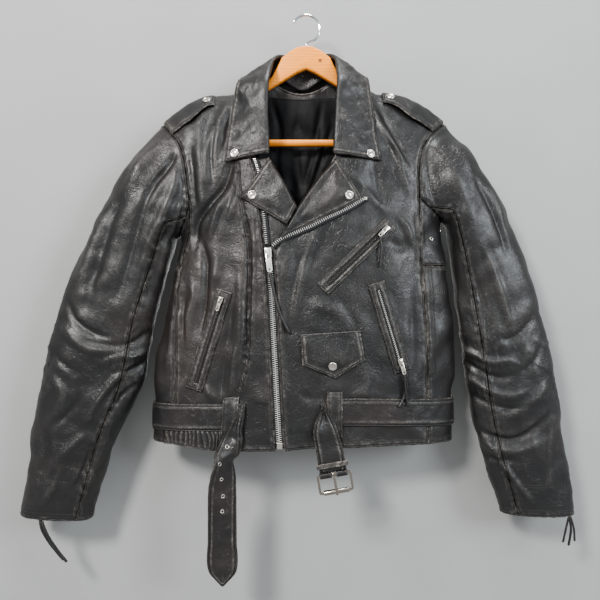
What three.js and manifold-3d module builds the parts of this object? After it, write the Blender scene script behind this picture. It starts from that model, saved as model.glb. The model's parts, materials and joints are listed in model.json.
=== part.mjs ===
// Leather biker jacket hanging on a wooden trouser hanger with a wire hook.
// Millimetres, +Z up. The front faces -Y and the wearer's left is at +X.
// The origin is the inner top of the hook, where the hanger hangs.
import * as THREE from 'three';
import { mergeVertices } from 'three/addons/utils/BufferGeometryUtils.js';
import Module from 'manifold-3d';

const wasm = await Module();
wasm.setup();

// ---------- driving dimensions ----------
const LEATHER = 2.0; // wall of a cut leather piece
const SATIN = 1.2; // wall of the lining
const GAP = 0.3; // clearance between pieces that touch
const SEAM = 0.4; // clearance across a seam
const LAYER = 0.7; // clearance between pieces that lie on each other on the rounded body
const FRONT_DEPTH = 62; // how far the front stands out from the hanger's plane
const BACK_DEPTH = 28; // how far the back stands out behind it
const FRONT_RISE = 120; // drop below the shoulder over which the front fills out
const BACK_RISE = 60; // the same for the back
const ROUNDING = 2.6; // power of the rounded section of the body
const SHOULDER_RISE = 60; // drop below which the body section alone gives the normal
const CHAIN_WIDTH = 9; // closed main zip
const WOOD_THICKNESS = 11; // hanger arms, front to back
const WOOD_FORWARD = 1.5; // how far the arms lie in front of the hook's wire
const BAR_RADIUS = 6; // trouser bar
const BAR_HEIGHT = -210; // centre line of the trouser bar
const ARM_INNER = 172; // inner face of the arm ends, where the bar is held
const HOOK_RADIUS = 23; // centre line of the hook's round
const HOOK_WIRE = 2.2; // radius of the hook's wire

const TURN = 2 * Math.PI;
const vec = (x, y, z) => new THREE.Vector3(x, y, z);
const range = (count) => [...Array(count + 1).keys()].map((i) => i / count);

// ---------- finishes ----------
const finish = (color, roughness, metalness) =>
  new THREE.MeshStandardMaterial({ color, roughness, metalness });
const leather = () => finish(0x1d1c1c, 0.45, 0);
const satin = () => finish(0x0e0e10, 0.3, 0);
const nickel = () => finish(0xb9b4a8, 0.25, 1);
const chrome = () => finish(0xd8dadb, 0.12, 1);
const maple = () => finish(0xd79a5c, 0.4, 0);

const jacket = new THREE.Group();
function add(name, geometry, material) {
  const mesh = new THREE.Mesh(geometry, material);
  mesh.name = name;
  jacket.add(mesh);
  return mesh;
}

// ---------- tables to curves ----------
// A smooth curve through rows of a table: column `value` over the rising or falling column `key`.
function curve(rows, key, value) {
  const sorted = [...rows].sort((a, b) => a[key] - b[key]);
  const slope = sorted.map((row, i) => {
    const a = sorted[Math.max(i - 1, 0)];
    const b = sorted[Math.min(i + 1, sorted.length - 1)];
    return (b[value] - a[value]) / (b[key] - a[key]);
  });
  return (at) => {
    if (at <= sorted[0][key]) return sorted[0][value];
    if (at >= sorted.at(-1)[key]) return sorted.at(-1)[value];
    const i = sorted.findIndex((row) => row[key] >= at) - 1;
    const [a, b] = [sorted[i], sorted[i + 1]];
    const span = b[key] - a[key];
    const t = (at - a[key]) / span;
    const [t2, t3] = [t * t, t * t * t];
    return (
      (2 * t3 - 3 * t2 + 1) * a[value] + (t3 - 2 * t2 + t) * span * slope[i]
      + (3 * t2 - 2 * t3) * b[value] + (t3 - t2) * span * slope[i + 1]
    );
  };
}

// A point at a share of the way down a seam, whose rows run from its top to its foot.
function seamLine(rows) {
  const xAt = curve(rows, 'z', 'x');
  const reach = [0];
  rows.slice(1).forEach((row, i) => {
    reach.push(reach[i] + Math.hypot(row.x - rows[i].x, row.z - rows[i].z));
  });
  const zAt = curve(rows.map(({ z }, i) => ({ s: reach[i] / reach.at(-1), z })), 's', 'z');
  return (share) => ({ x: xAt(zAt(share)), z: zAt(share) });
}

// A point at a share of the way across a hem, whose rows run from the wearer's right to the left.
function hemLine(rows) {
  const zAt = curve(rows, 'x', 'z');
  return (share) => {
    const x = THREE.MathUtils.lerp(rows[0].x, rows.at(-1).x, share);
    return { x, z: zAt(x) };
  };
}

// ---------- the hung form ----------
const shoulderRows = [
  { x: -262, z: -200 }, { x: -236, z: -181 }, { x: -209, z: -161 }, { x: -179, z: -144 },
  { x: -151, z: -135 }, { x: -116, z: -130 }, { x: -90, z: -109 }, { x: -68, z: -91 },
  { x: -40, z: -82 }, { x: 0, z: -80 }, { x: 34, z: -82 }, { x: 62, z: -91 }, { x: 82, z: -106 },
  { x: 109, z: -125 }, { x: 150, z: -136 }, { x: 177, z: -146 }, { x: 205, z: -162 },
  { x: 228, z: -178 }, { x: 250, z: -196 },
];
const sideRows = [
  { z: -100, right: -262, left: 250 }, { z: -230, right: -252, left: 244 },
  { z: -300, right: -228, left: 230 }, { z: -340, right: -211, left: 221 },
  { z: -370, right: -206, left: 222 }, { z: -403, right: -212, left: 228 },
  { z: -436, right: -219, left: 233 }, { z: -470, right: -226, left: 237 },
  { z: -503, right: -233, left: 241 }, { z: -552, right: -245, left: 244 },
  { z: -585, right: -248, left: 244 }, { z: -622, right: -248, left: 238 },
  { z: -645, right: -249, left: 240 }, { z: -716, right: -251, left: 238 },
];
const shoulder = curve(shoulderRows, 'x', 'z');
const rightSide = curve(sideRows, 'z', 'right');
const leftSide = curve(sideRows, 'z', 'left');
const middle = (z) => (rightSide(z) + leftSide(z)) / 2;
const halfWidth = (z) => (leftSide(z) - rightSide(z)) / 2;
const drop = (x, z) => Math.max(shoulder(x) - z, 0);
const rise = (x, z, front) => 1 - Math.exp(-drop(x, z) / (front ? FRONT_RISE : BACK_RISE));
const bow = (x, z) => {
  const t = Math.min(Math.abs((x - middle(z)) / halfWidth(z)), 1);
  return (1 - t ** ROUNDING) ** (1 / ROUNDING);
};
const depthOf = (front) => (front ? FRONT_DEPTH : BACK_DEPTH);

// Outward normal of the form, from the side of the form that is rounder there.
function formNormal(p, front) {
  const nearShoulder = drop(p.x, p.z) < SHOULDER_RISE;
  const level = (x, y, z) => {
    const across = Math.max(bow(x, z), 1e-4);
    const out = Math.abs(y) / depthOf(front);
    if (nearShoulder) return (out / across) ** 2 - rise(x, z, front);
    const t = Math.abs((x - middle(z)) / halfWidth(z));
    return (out / Math.sqrt(rise(x, z, front))) ** ROUNDING + t ** ROUNDING - 1;
  };
  const h = 0.02;
  const n = vec(
    level(p.x + h, p.y, p.z) - level(p.x - h, p.y, p.z),
    level(p.x, p.y + h, p.z) - level(p.x, p.y - h, p.z),
    level(p.x, p.y, p.z + h) - level(p.x, p.y, p.z - h),
  );
  return n.normalize();
}

// turn is the angle round the body: 0 at the front, 90 degrees at the wearer's left side.
function formAt(turn, z, lift = 0) {
  const front = Math.cos(turn) >= 0;
  const x = middle(z) + halfWidth(z) * Math.sin(turn);
  const depth = depthOf(front) * Math.sqrt(rise(x, z, front)) * bow(x, z);
  const p = vec(x, front ? -depth : depth, z);
  const n = formNormal(p, front);
  return { p: p.clone().addScaledVector(n, lift), n };
}
function turnAt(x, z, front = true) {
  const t = Math.max(-1, Math.min(1, (x - middle(z)) / halfWidth(z)));
  const turn = Math.asin(t);
  return front ? turn : Math.sign(turn || 1) * Math.PI - turn;
}
const onFront = (x, z, lift = 0) => formAt(turnAt(x, z), z, lift);

// ---------- solids from grids ----------
function solid(points, faces) {
  const geometry = new THREE.BufferGeometry();
  const places = points.flatMap((p) => p.toArray());
  geometry.setAttribute('position', new THREE.Float32BufferAttribute(places, 3));
  geometry.setIndex(faces.flat());
  let volume = 0;
  faces.forEach(([a, b, c]) => {
    volume += points[a].dot(points[b].clone().cross(points[c]));
  });
  if (volume < 0) geometry.setIndex(faces.map(([a, b, c]) => [a, c, b]).flat());
  return geometry;
}
const quad = (a, b, c, d) => [[a, b, c], [a, c, d]];

// A wall of even thickness behind a grid of {p, n}; rows may close on themselves.
function wall(grid, thickness) {
  const [rows, cols] = [grid.length, grid[0].length];
  const points = [];
  grid.flat().forEach(({ p }) => points.push(p));
  grid.flat().forEach(({ p, n }) => points.push(p.clone().addScaledVector(n, -thickness)));
  const outer = (i, j) => i * cols + j;
  const inner = (i, j) => rows * cols + i * cols + j;
  const faces = [];
  for (let i = 0; i + 1 < rows; i += 1) {
    for (let j = 0; j + 1 < cols; j += 1) {
      faces.push(...quad(outer(i, j), outer(i + 1, j), outer(i + 1, j + 1), outer(i, j + 1)));
      faces.push(...quad(inner(i, j), inner(i, j + 1), inner(i + 1, j + 1), inner(i + 1, j)));
    }
    faces.push(...quad(outer(i, 0), inner(i, 0), inner(i + 1, 0), outer(i + 1, 0)));
    const e = cols - 1;
    faces.push(...quad(outer(i, e), outer(i + 1, e), inner(i + 1, e), inner(i, e)));
  }
  for (let j = 0; j + 1 < cols; j += 1) {
    const e = rows - 1;
    faces.push(...quad(outer(0, j), outer(0, j + 1), inner(0, j + 1), inner(0, j)));
    faces.push(...quad(outer(e, j), inner(e, j), inner(e, j + 1), outer(e, j + 1)));
  }
  return solid(points, faces);
}

// A solid through closed rings of points, with flat ends.
function loft(rings) {
  const n = rings[0].length;
  const points = rings.flat();
  const faces = [];
  for (let i = 0; i + 1 < rings.length; i += 1) {
    for (let j = 0; j < n; j += 1) {
      const k = (j + 1) % n;
      faces.push(...quad(i * n + j, i * n + k, (i + 1) * n + k, (i + 1) * n + j));
    }
  }
  const cap = (ring, base, flip) => {
    const across = new THREE.Vector3().subVectors(ring[0], ring[Math.floor(n / 2)]).normalize();
    const centre = ring.reduce((sum, p) => sum.add(p), vec(0, 0, 0)).divideScalar(n);
    const normal = ring.reduce((sum, p, i) => {
      const q = ring[(i + 1) % n];
      return sum.add(p.clone().sub(centre).cross(q.clone().sub(centre)));
    }, vec(0, 0, 0)).normalize();
    const up = normal.clone().cross(across);
    const flat = ring.map((p) => {
      const d = p.clone().sub(centre);
      return new THREE.Vector2(d.dot(across), d.dot(up));
    });
    THREE.ShapeUtils.triangulateShape(flat, []).forEach(([a, b, c]) => {
      faces.push(flip ? [base + a, base + c, base + b] : [base + a, base + b, base + c]);
    });
  };
  cap(rings[0], 0, true);
  cap(rings.at(-1), (rings.length - 1) * n, false);
  return solid(points, faces);
}

// A patch between four edges, each a function of 0..1 giving {u, z}: u is the turn round the body.
function patch({ top, bottom, first, last }, across, down, lift = 0) {
  return down.map((v) => across.map((u) => {
    const [t, b, f, l] = [top(u), bottom(u), first(v), last(v)];
    const mix = (k) => (1 - v) * t[k] + v * b[k] + (1 - u) * f[k] + u * l[k]
      - (1 - u) * (1 - v) * top(0)[k] - u * (1 - v) * top(1)[k]
      - (1 - u) * v * bottom(0)[k] - u * v * bottom(1)[k];
    return formAt(mix('u'), mix('z'), lift);
  }));
}
const turned = (route) => (share) => {
  const { x, z } = route(share);
  return { u: turnAt(x, z), z };
};

// A piece laid on the front between the corners of a table, its wall standing out by lift + wall.
function laid(name, corners, { across, down, lift, thickness, material = leather() }) {
  const edge = (a, b) => (s) => ({
    u: THREE.MathUtils.lerp(turnAt(a.x, a.z), turnAt(b.x, b.z), s),
    z: THREE.MathUtils.lerp(a.z, b.z, s),
  });
  const { a, b, c, d, tip } = corners;
  const foot = (s) => (s < 0.5 ? edge(d, tip)(2 * s) : edge(tip, c)(2 * s - 1));
  const edges = {
    top: edge(a, b), bottom: tip ? foot : edge(d, c), first: edge(a, d), last: edge(b, c),
  };
  const grid = patch(edges, range(across), range(down), lift + thickness);
  return add(name, wall(grid, thickness), material);
}

// ---------- body panels ----------
const SHOULDER_DROP = 0.006; // keeps front and back just clear of each other at the shoulder
const seamTop = (x) => ({ x, z: shoulder(x) - SHOULDER_DROP });
// Armhole seams from the shoulder down the front; the back follows the same line.
const armholeRight = [
  seamTop(-236), { x: -222, z: -197 }, { x: -207, z: -215 }, { x: -197, z: -242 },
  { x: -191, z: -278 }, { x: -187, z: -312 },
];
const armholeLeft = [
  seamTop(228), { x: 212, z: -193 }, { x: 195, z: -211 }, { x: 184, z: -238 },
  { x: 180, z: -274 }, { x: 181, z: -306 },
];
const seamRight = [
  { x: -187, z: -312 }, { x: -188, z: -350 }, { x: -200, z: -406 }, { x: -206, z: -460 },
  { x: -208, z: -540 }, { x: -208, z: -620 }, { x: -210, z: -699 },
];
const seamLeft = [
  { x: 181, z: -306 }, { x: 180, z: -358 }, { x: 185, z: -440 }, { x: 191, z: -530 },
  { x: 193, z: -620 }, { x: 193, z: -696 },
];
const edgeRows = (armhole, seam) => [...armhole, ...seam.slice(1)];
const GUSSET_INSET = 2.2; // clearance below the sleeve
const GUSSET_FOOT = -415;
const HEM_SIDE = -698;

// Each side: which way it turns, its armhole and side seam, and the height under the arm.
const sidesOf = {
  right: { flip: -1, armhole: armholeRight, seam: seamRight, underarm: -362 },
  left: { flip: 1, armhole: armholeLeft, seam: seamLeft, underarm: -338 },
};
const rearOf = (turn, flip) => flip * Math.PI - turn;

// Front, back, gusset, side and sleeve share the same points along a side seam: some lie on the
// armhole, some beside the gusset and some beside the side panel.
const ARMHOLE_STEPS = 6;
const GUSSET_STEPS = 3;
const SIDE_STEPS = 8;
const SEAM_STEPS = ARMHOLE_STEPS + GUSSET_STEPS + SIDE_STEPS;
const UNDERARM_STEPS = 8;

function seamPoint({ armhole, seam }, step) {
  const x = curve(edgeRows(armhole, seam), 'z', 'x');
  if (step <= ARMHOLE_STEPS) return seamLine(armhole)(step / ARMHOLE_STEPS);
  const beside = step - ARMHOLE_STEPS;
  const z = beside <= GUSSET_STEPS
    ? THREE.MathUtils.lerp(seam[0].z, GUSSET_FOOT, beside / GUSSET_STEPS)
    : THREE.MathUtils.lerp(GUSSET_FOOT, HEM_SIDE, (beside - GUSSET_STEPS) / SIDE_STEPS);
  return { x: x(z), z };
}
function seamEdge(side, rear) {
  const shape = sidesOf[side];
  return (share) => {
    const { x, z } = seamPoint(shape, share * SEAM_STEPS);
    return { u: rear ? backTurn(x, z) : turnAt(x, z), z };
  };
}

// The turn of a point beside a seam, clear of it towards the wearer's side.
function besideSeam({ flip, armhole, seam }, z, clearance) {
  const turn = turnAt(curve(edgeRows(armhole, seam), 'z', 'x')(z), z);
  return turn + (flip * clearance) / halfWidth(z) / Math.cos(turn);
}

// The top of the gusset from the front seam under the arm to the rear seam, for s from 0 to 1.
function gussetTop(shape, s, inset) {
  const head = shape.seam[0].z;
  const dip = THREE.MathUtils.lerp(head, shape.underarm, Math.sin(Math.PI * s) ** 0.8);
  const front = besideSeam(shape, head - inset, inset ? 2 * SEAM : 0);
  return { u: THREE.MathUtils.lerp(front, rearOf(front, shape.flip), s), z: dip - inset };
}

// Centre line of the main zip, from under the collar to its foot.
const zipRows = [
  { x: -90, z: -205 }, { x: -80.5, z: -248 }, { x: -74.5, z: -268 }, { x: -66.5, z: -334 },
  { x: -61.5, z: -384 }, { x: -56.5, z: -424 }, { x: -50, z: -546 }, { x: -43.7, z: -669 },
  { x: -41, z: -706 },
];
const zipX = curve(zipRows, 'z', 'x');
const HALF_CHAIN = CHAIN_WIDTH / 2;

function bodyPanel(name, edges, columns, lines, lift, thickness, material) {
  add(name, wall(patch(edges, columns, lines, lift), thickness), material);
}
const shoulderEdge = (from, to, front) => (s) => {
  const x = THREE.MathUtils.lerp(from, to, s);
  return { u: turnAt(x, shoulder(x), front), z: shoulder(x) - SHOULDER_DROP };
};

const frontRightInner = [
  seamTop(-71), { x: -73, z: -140 }, { x: -90, z: -190 },
  ...zipRows.slice(1).map(({ x, z }) => ({ x: x - HALF_CHAIN - SEAM, z })),
];
const hemRight = [{ x: -210, z: -698 }, { x: -150, z: -705 }, { x: -46, z: -706 }];
const frontLeftInner = [
  seamTop(58), { x: 49, z: -140 }, { x: 46, z: -239 }, { x: -13, z: -325 },
  { x: -28, z: -352 }, { x: -40, z: -372 }, { x: -48, z: -390 },
  ...[-408, -424, -460, -546, -669, -706].map((z) => ({ x: zipX(z) + HALF_CHAIN + SEAM, z })),
];
const hemLeft = [{ x: -36, z: -706 }, { x: 14, z: -701 }, { x: 193, z: -695 }];

function fronts() {
  const down = range(SEAM_STEPS);
  bodyPanel('front_right', {
    top: shoulderEdge(-236, -71, true),
    bottom: turned(hemLine(hemRight)),
    first: seamEdge('right', false),
    last: turned(seamLine(frontRightInner)),
  }, range(7), down, 0, LEATHER, leather());
  bodyPanel('front_left', {
    top: shoulderEdge(58, 228, true),
    bottom: turned(hemLine(hemLeft)),
    first: turned(seamLine(frontLeftInner)),
    last: seamEdge('left', false),
  }, range(9), down, 0, LEATHER, leather());
  const underlapOuter = [
    { x: -88, z: -246 }, { x: -76, z: -334 }, { x: -72, z: -384 }, { x: -62, z: -546 },
    { x: -53, z: -702 },
  ];
  const underlapInner = [
    { x: -60, z: -246 }, { x: -15, z: -326 }, { x: -22, z: -420 }, { x: -20, z: -546 },
    { x: -14, z: -702 },
  ];
  bodyPanel('underlap', {
    top: turned(hemLine([underlapOuter[0], underlapInner[0]])),
    bottom: turned(hemLine([underlapOuter.at(-1), underlapInner.at(-1)])),
    first: turned(seamLine(underlapOuter)),
    last: turned(seamLine(underlapInner)),
  }, range(3), range(12), -LEATHER - LAYER, LEATHER, leather());
}

function back() {
  bodyPanel('back', {
    top: (s) => {
      const x = THREE.MathUtils.lerp(-236, 228, s);
      const hollow = x > -68 && x < 55 ? 42 * Math.sin((Math.PI * (x + 68)) / 123) ** 0.7 : 0;
      return { u: backTurn(x, shoulder(x) - hollow), z: shoulder(x) - SHOULDER_DROP - hollow };
    },
    bottom: (s) => ({
      u: THREE.MathUtils.lerp(backTurn(-210, HEM_SIDE), backTurn(193, HEM_SIDE), s), z: HEM_SIDE,
    }),
    first: seamEdge('right', true),
    last: seamEdge('left', true),
  }, range(14), range(SEAM_STEPS), 0, LEATHER, leather());
  add('lining_back', wall(patch({
    top: (s) => ({
      u: backTurn(THREE.MathUtils.lerp(-78, 66, s), -128), z: -128 - 4 * Math.sin(Math.PI * s),
    }),
    bottom: (s) => ({ u: backTurn(THREE.MathUtils.lerp(-84, 72, s), -372), z: -372 }),
    first: (v) => ({ u: backTurn(-78 - 6 * v, -128 - 244 * v), z: -128 - 244 * v }),
    last: (v) => ({ u: backTurn(66 + 6 * v, -128 - 244 * v), z: -128 - 244 * v }),
  }, range(6), range(6), -LEATHER - LAYER - 1.2), SATIN), satin());
}
// Turns behind the body run on from the wearer's right round to the left: -90 to -270 degrees.
function backTurn(x, z) {
  const t = Math.max(-1, Math.min(1, (x - middle(z)) / halfWidth(z)));
  return -Math.PI - Math.asin(t);
}

function sides() {
  Object.entries(sidesOf).forEach(([side, shape]) => {
    const { flip } = shape;
    // A point beside a step of the seam and lower by dip, at front or rear.
    const beside = (step, rear, dip) => {
      const z = seamPoint(shape, step).z - dip;
      const turn = besideSeam(shape, z, 2 * SEAM);
      return { u: rear ? rearOf(turn, flip) : turn, z };
    };
    const span = (from, steps, dip) => (rear) => (v) => beside(from + v * steps, rear, dip * (1 - v));
    const level = (step, dip) => (s) => {
      const [a, b] = [beside(step, false, dip), beside(step, true, dip)];
      return { u: THREE.MathUtils.lerp(a.u, b.u, s), z: a.z };
    };
    const gusset = span(ARMHOLE_STEPS, GUSSET_STEPS, GUSSET_INSET);
    bodyPanel(`gusset_${side}`, {
      top: (s) => gussetTop(shape, s, GUSSET_INSET),
      bottom: level(ARMHOLE_STEPS + GUSSET_STEPS, 0),
      first: gusset(false),
      last: gusset(true),
    }, range(UNDERARM_STEPS), range(GUSSET_STEPS), 0, LEATHER, leather());
    const below = span(ARMHOLE_STEPS + GUSSET_STEPS, SIDE_STEPS, SEAM);
    bodyPanel(`side_${side}`, {
      top: level(ARMHOLE_STEPS + GUSSET_STEPS, SEAM),
      bottom: level(SEAM_STEPS, 0),
      first: below(false),
      last: below(true),
    }, range(UNDERARM_STEPS), range(SIDE_STEPS), 0, LEATHER, leather());
  });
}

// ---------- sleeves ----------
// Sections down each sleeve: outer and inner edge, and how far front and back stand out.
const sleeveRight = [
  { ox: -285, oz: -236, ix: -214, iz: -374, front: 42, back: 25, y: -3 },
  { ox: -331, oz: -312, ix: -226, iz: -424, front: 39, back: 25, y: -3 },
  { ox: -366, oz: -385, ix: -241, iz: -475, front: 37, back: 25, y: -3 },
  { ox: -397, oz: -458, ix: -253, iz: -522, front: 36, back: 25, y: -3 },
  { ox: -419, oz: -530, ix: -261, iz: -575, front: 35, back: 25, y: -4 },
  { ox: -436, oz: -606, ix: -274, iz: -622, front: 33, back: 25, y: -4 },
  { ox: -448, oz: -680, ix: -301, iz: -672, front: 31, back: 24, y: -4 },
  { ox: -458, oz: -756, ix: -324, iz: -731, front: 29, back: 23, y: -3 },
  { ox: -466, oz: -795, ix: -339, iz: -783, front: 27, back: 22, y: -2 },
  { ox: -470, oz: -823, ix: -353, iz: -830, front: 25, back: 20, y: -1 },
];
const sleeveLeft = [
  { ox: 263, oz: -222, ix: 229, iz: -352, front: 42, back: 25, y: -3 },
  { ox: 309, oz: -290, ix: 238, iz: -398, front: 39, back: 25, y: -3 },
  { ox: 342, oz: -360, ix: 243, iz: -445, front: 37, back: 25, y: -3 },
  { ox: 369, oz: -434, ix: 250, iz: -495, front: 36, back: 25, y: -3 },
  { ox: 390, oz: -512, ix: 257, iz: -545, front: 35, back: 25, y: -4 },
  { ox: 407, oz: -582, ix: 264, iz: -594, front: 33, back: 25, y: -4 },
  { ox: 419, oz: -650, ix: 273, iz: -656, front: 31, back: 24, y: -4 },
  { ox: 425, oz: -716, ix: 292, iz: -724, front: 29, back: 23, y: -3 },
  { ox: 437, oz: -768, ix: 308, iz: -776, front: 27, back: 22, y: -2 },
  { ox: 442, oz: -822, ix: 322, iz: -820, front: 25, back: 20, y: -1 },
];
const SECTION_POWER = 2 / 2.3;
const soften = (value) => Math.sign(value) * Math.abs(value) ** SECTION_POWER;

function sleevePoint(row, angle) {
  const centre = vec((row.ox + row.ix) / 2, row.y, (row.oz + row.iz) / 2);
  const reach = vec((row.ox - row.ix) / 2, 0, (row.oz - row.iz) / 2);
  const side = -soften(Math.sin(angle)) * (Math.sin(angle) > 0 ? row.front : row.back);
  return centre.addScaledVector(reach, soften(Math.cos(angle))).add(vec(0, side, 0));
}

// The armhole as a closed loop of steps, from the shoulder down the front and up the back.
const LOOP_STEPS = 2 * ARMHOLE_STEPS + UNDERARM_STEPS;
function armholePoint(shape, step) {
  const rear = step > LOOP_STEPS / 2;
  const down = rear ? LOOP_STEPS - step : step;
  if (down > ARMHOLE_STEPS) {
    const { u, z } = gussetTop(shape, (step - ARMHOLE_STEPS) / UNDERARM_STEPS, 0);
    return formAt(u, z);
  }
  const { x, z } = seamPoint(shape, down);
  const turn = turnAt(x, z);
  return formAt(rear ? rearOf(turn, shape.flip) : turn, z);
}

// A sleeve is cut in two: the under sleeve lies between these steps of the armhole.
const UNDER_FROM = 7;
const UNDER_TO = 13;
const SEAM_SHARE = 0.05; // of a step, either side of a sleeve seam

function sleeve(side, rows) {
  const { flip } = sidesOf[side];
  const ring = (row, step) => {
    const wrapped = (step + LOOP_STEPS) % LOOP_STEPS;
    const head = armholePoint(sidesOf[side], wrapped);
    const below = sleevePoint(rows[0], (wrapped / LOOP_STEPS) * TURN);
    const start = head.p.clone().add(below.clone().sub(head.p).setLength(SEAM + GAP));
    if (row === 0) return { p: start, n: head.n };
    if (row === 1) return { p: start.lerp(below, 0.5) };
    return { p: sleevePoint(rows[row - 2], (wrapped / LOOP_STEPS) * TURN) };
  };
  const strip = (name, from, to) => {
    const steps = range(to - from).map((s) => from + s * (to - from));
    const lines = range(rows.length + 1).map((s) => Math.round(s * (rows.length + 1)));
    const points = lines.map((row) => steps.map((step) => ring(row, step)));
    const between = (line, step, share) => {
      const next = line[step + Math.sign(share)].p;
      return line[step].p.clone().lerp(next, Math.abs(share));
    };
    const grid = points.map((line, i) => line.map(({ p, n }, j) => {
      const next = points[i + 1] ?? line;
      const down = next[j].p.clone().sub((points[i - 1] ?? line)[j].p);
      const round = (line[j + 1] ?? line[j]).p.clone().sub((line[j - 1] ?? line[j]).p);
      const normal = n ?? round.cross(down).normalize().multiplyScalar(flip);
      const edge = j === 0 ? SEAM_SHARE : j === line.length - 1 ? -SEAM_SHARE : 0;
      return { p: edge ? between(line, j, edge) : p, n: normal };
    }));
    add(name, wall(grid, LEATHER), leather());
  };
  strip(`sleeve_${side}_upper`, UNDER_TO - LOOP_STEPS, UNDER_FROM);
  strip(`sleeve_${side}_under`, UNDER_FROM, UNDER_TO);
}

// ---------- collar ----------
// Stations round the neck: roll, free edge and neck seam. Rows without y lie on the front.
const collarRows = [
  { rx: -60, rz: -240, ex: -129, ez: -251, sx: -76, sz: -240, lift: 5 },
  { rx: -62, rz: -200, ex: -123, ez: -200, sx: -76, sz: -198, lift: 5 },
  { rx: -63, rz: -160, ex: -118, ez: -155, sx: -74, sz: -158, lift: 5 },
  { rx: -62, ry: -42, rz: -122, ex: -113, ey: -27, ez: -124, sx: -70, sy: -34, sz: -121 },
  { rx: -57, ry: -20, rz: -88, ex: -111, ey: -11, ez: -112, sx: -69, sy: -18, sz: -98 },
  { rx: -51, ry: -9, rz: -73, ex: -108, ey: 0, ez: -110, sx: -67, sy: -8, sz: -89 },
  { rx: -42, ry: 6, rz: -64, ex: -98, ey: 16, ez: -114, sx: -63, sy: 6, sz: -88 },
  { rx: -26, ry: 16, rz: -64, ex: -68, ey: 32, ez: -128, sx: -42, sy: 13, sz: -98 },
  { rx: -3, ry: 22, rz: -66, ex: -5, ey: 38, ez: -136, sx: -5, sy: 18, sz: -116 },
  { rx: 20, ry: 16, rz: -64, ex: 58, ey: 32, ez: -126, sx: 31, sy: 13, sz: -98 },
  { rx: 39, ry: 6, rz: -63, ex: 90, ey: 16, ez: -111, sx: 60, sy: 6, sz: -88 },
  { rx: 48, ry: -9, rz: -73, ex: 98, ey: 0, ez: -106, sx: 63, sy: -8, sz: -89 },
  { rx: 51, ry: -20, rz: -88, ex: 101, ey: -11, ez: -107, sx: 62, sy: -18, sz: -98 },
  { rx: 52, ry: -42, rz: -122, ex: 102, ey: -27, ez: -122, sx: 57, sy: -36, sz: -121 },
  { rx: 49, rz: -160, ex: 105, ez: -155, sx: 58, sz: -158, lift: 6 },
  { rx: 47, rz: -200, ex: 110, ez: -200, sx: 60, sz: -198, lift: 5 },
  { rx: 45, rz: -241, ex: 118, ez: -250, sx: 60, sz: -241, lift: 5 },
];

function collar() {
  const fold = 0.8; // half the space inside the fold
  const rings = collarRows.map((row) => {
    const flat = row.ry === undefined;
    const roll = flat ? onFront(row.rx, row.rz, row.lift).p : vec(row.rx, row.ry, row.rz);
    const edge = flat ? onFront(row.ex, row.ez, GAP + LEATHER / 2 + 2.6).p : vec(row.ex, row.ey, row.ez);
    const seam = flat ? onFront(row.sx, row.sz, LAYER + LEATHER / 2).p : vec(row.sx, row.sy, row.sz);
    const out = edge.clone().sub(roll).normalize();
    const down = seam.clone().sub(roll).normalize();
    const tangent = vec(0, 0, 0);
    const at = collarRows.indexOf(row);
    const before = collarRows[Math.max(at - 1, 0)];
    const after = collarRows[Math.min(at + 1, collarRows.length - 1)];
    const yOf = (r) => r.ry ?? onFront(r.rx, r.rz, 0).p.y;
    tangent.set(after.rx - before.rx, yOf(after) - yOf(before), after.rz - before.rz).normalize();
    const lift = out.clone().cross(tangent).normalize();
    const faceUp = flat ? onFront(row.rx, row.rz).n : vec(row.rx, Math.sign(row.ry) * 40, 60).normalize();
    if (lift.dot(faceUp) < 0) lift.negate();
    const shift = (p, n, d) => p.clone().addScaledVector(n, d);
    const mid = roll.clone().lerp(edge, 0.5);
    const top = roll.clone().addScaledVector(out, -LEATHER - 0.6).addScaledVector(down, -0.6);
    return [
      shift(edge, lift, LEATHER / 2), shift(mid, lift, LEATHER / 2 + 1.6),
      shift(roll, lift, fold + LEATHER), top, shift(roll, lift, -fold - LEATHER),
      shift(seam, lift, -LEATHER / 2), shift(seam, lift, LEATHER / 2),
      shift(roll, lift, -fold).addScaledVector(out, 0.5), shift(roll, lift, fold).addScaledVector(out, 0.5),
      shift(mid, lift, -LEATHER / 2 + 1.6), shift(edge, lift, -LEATHER / 2),
    ];
  });
  add('collar', loft(rings), leather());
}

// ---------- lapels, pockets and other pieces laid on the fronts ----------
function lapels() {
  laid('lapel_right', {
    a: { x: -62, z: -249 }, b: { x: -102, z: -310 }, c: { x: -34, z: -349 }, d: { x: -18, z: -322 },
  }, { across: 4, down: 5, lift: LAYER, thickness: LEATHER });
  laid('lapel_left', {
    a: { x: 47, z: -246 }, b: { x: 86, z: -312 }, c: { x: -40, z: -372 }, d: { x: -36, z: -366 },
  }, { across: 4, down: 8, lift: LAYER, thickness: LEATHER });
}

// A strip along a route on the front, as wide as it says, standing out by lift + thickness.
function strip(name, route, { width, steps, lift, thickness, material }) {
  const grid = range(steps).map((s) => {
    const [a, b] = [route(Math.max(s - 0.01, 0)), route(Math.min(s + 0.01, 1))];
    const { x, z } = route(s);
    const length = Math.hypot(b.x - a.x, b.z - a.z);
    const [dx, dz] = [(b.x - a.x) / length, (b.z - a.z) / length];
    return [-1, 0, 1].map((k) => {
      const half = (k * width) / 2;
      return onFront(x - dz * half, z + dx * half, lift + thickness);
    });
  });
  add(name, wall(grid, thickness), material);
}
const straight = (a, b) => (s) => ({
  x: THREE.MathUtils.lerp(a.x, b.x, s),
  z: THREE.MathUtils.lerp(a.z, b.z, s),
});

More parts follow.
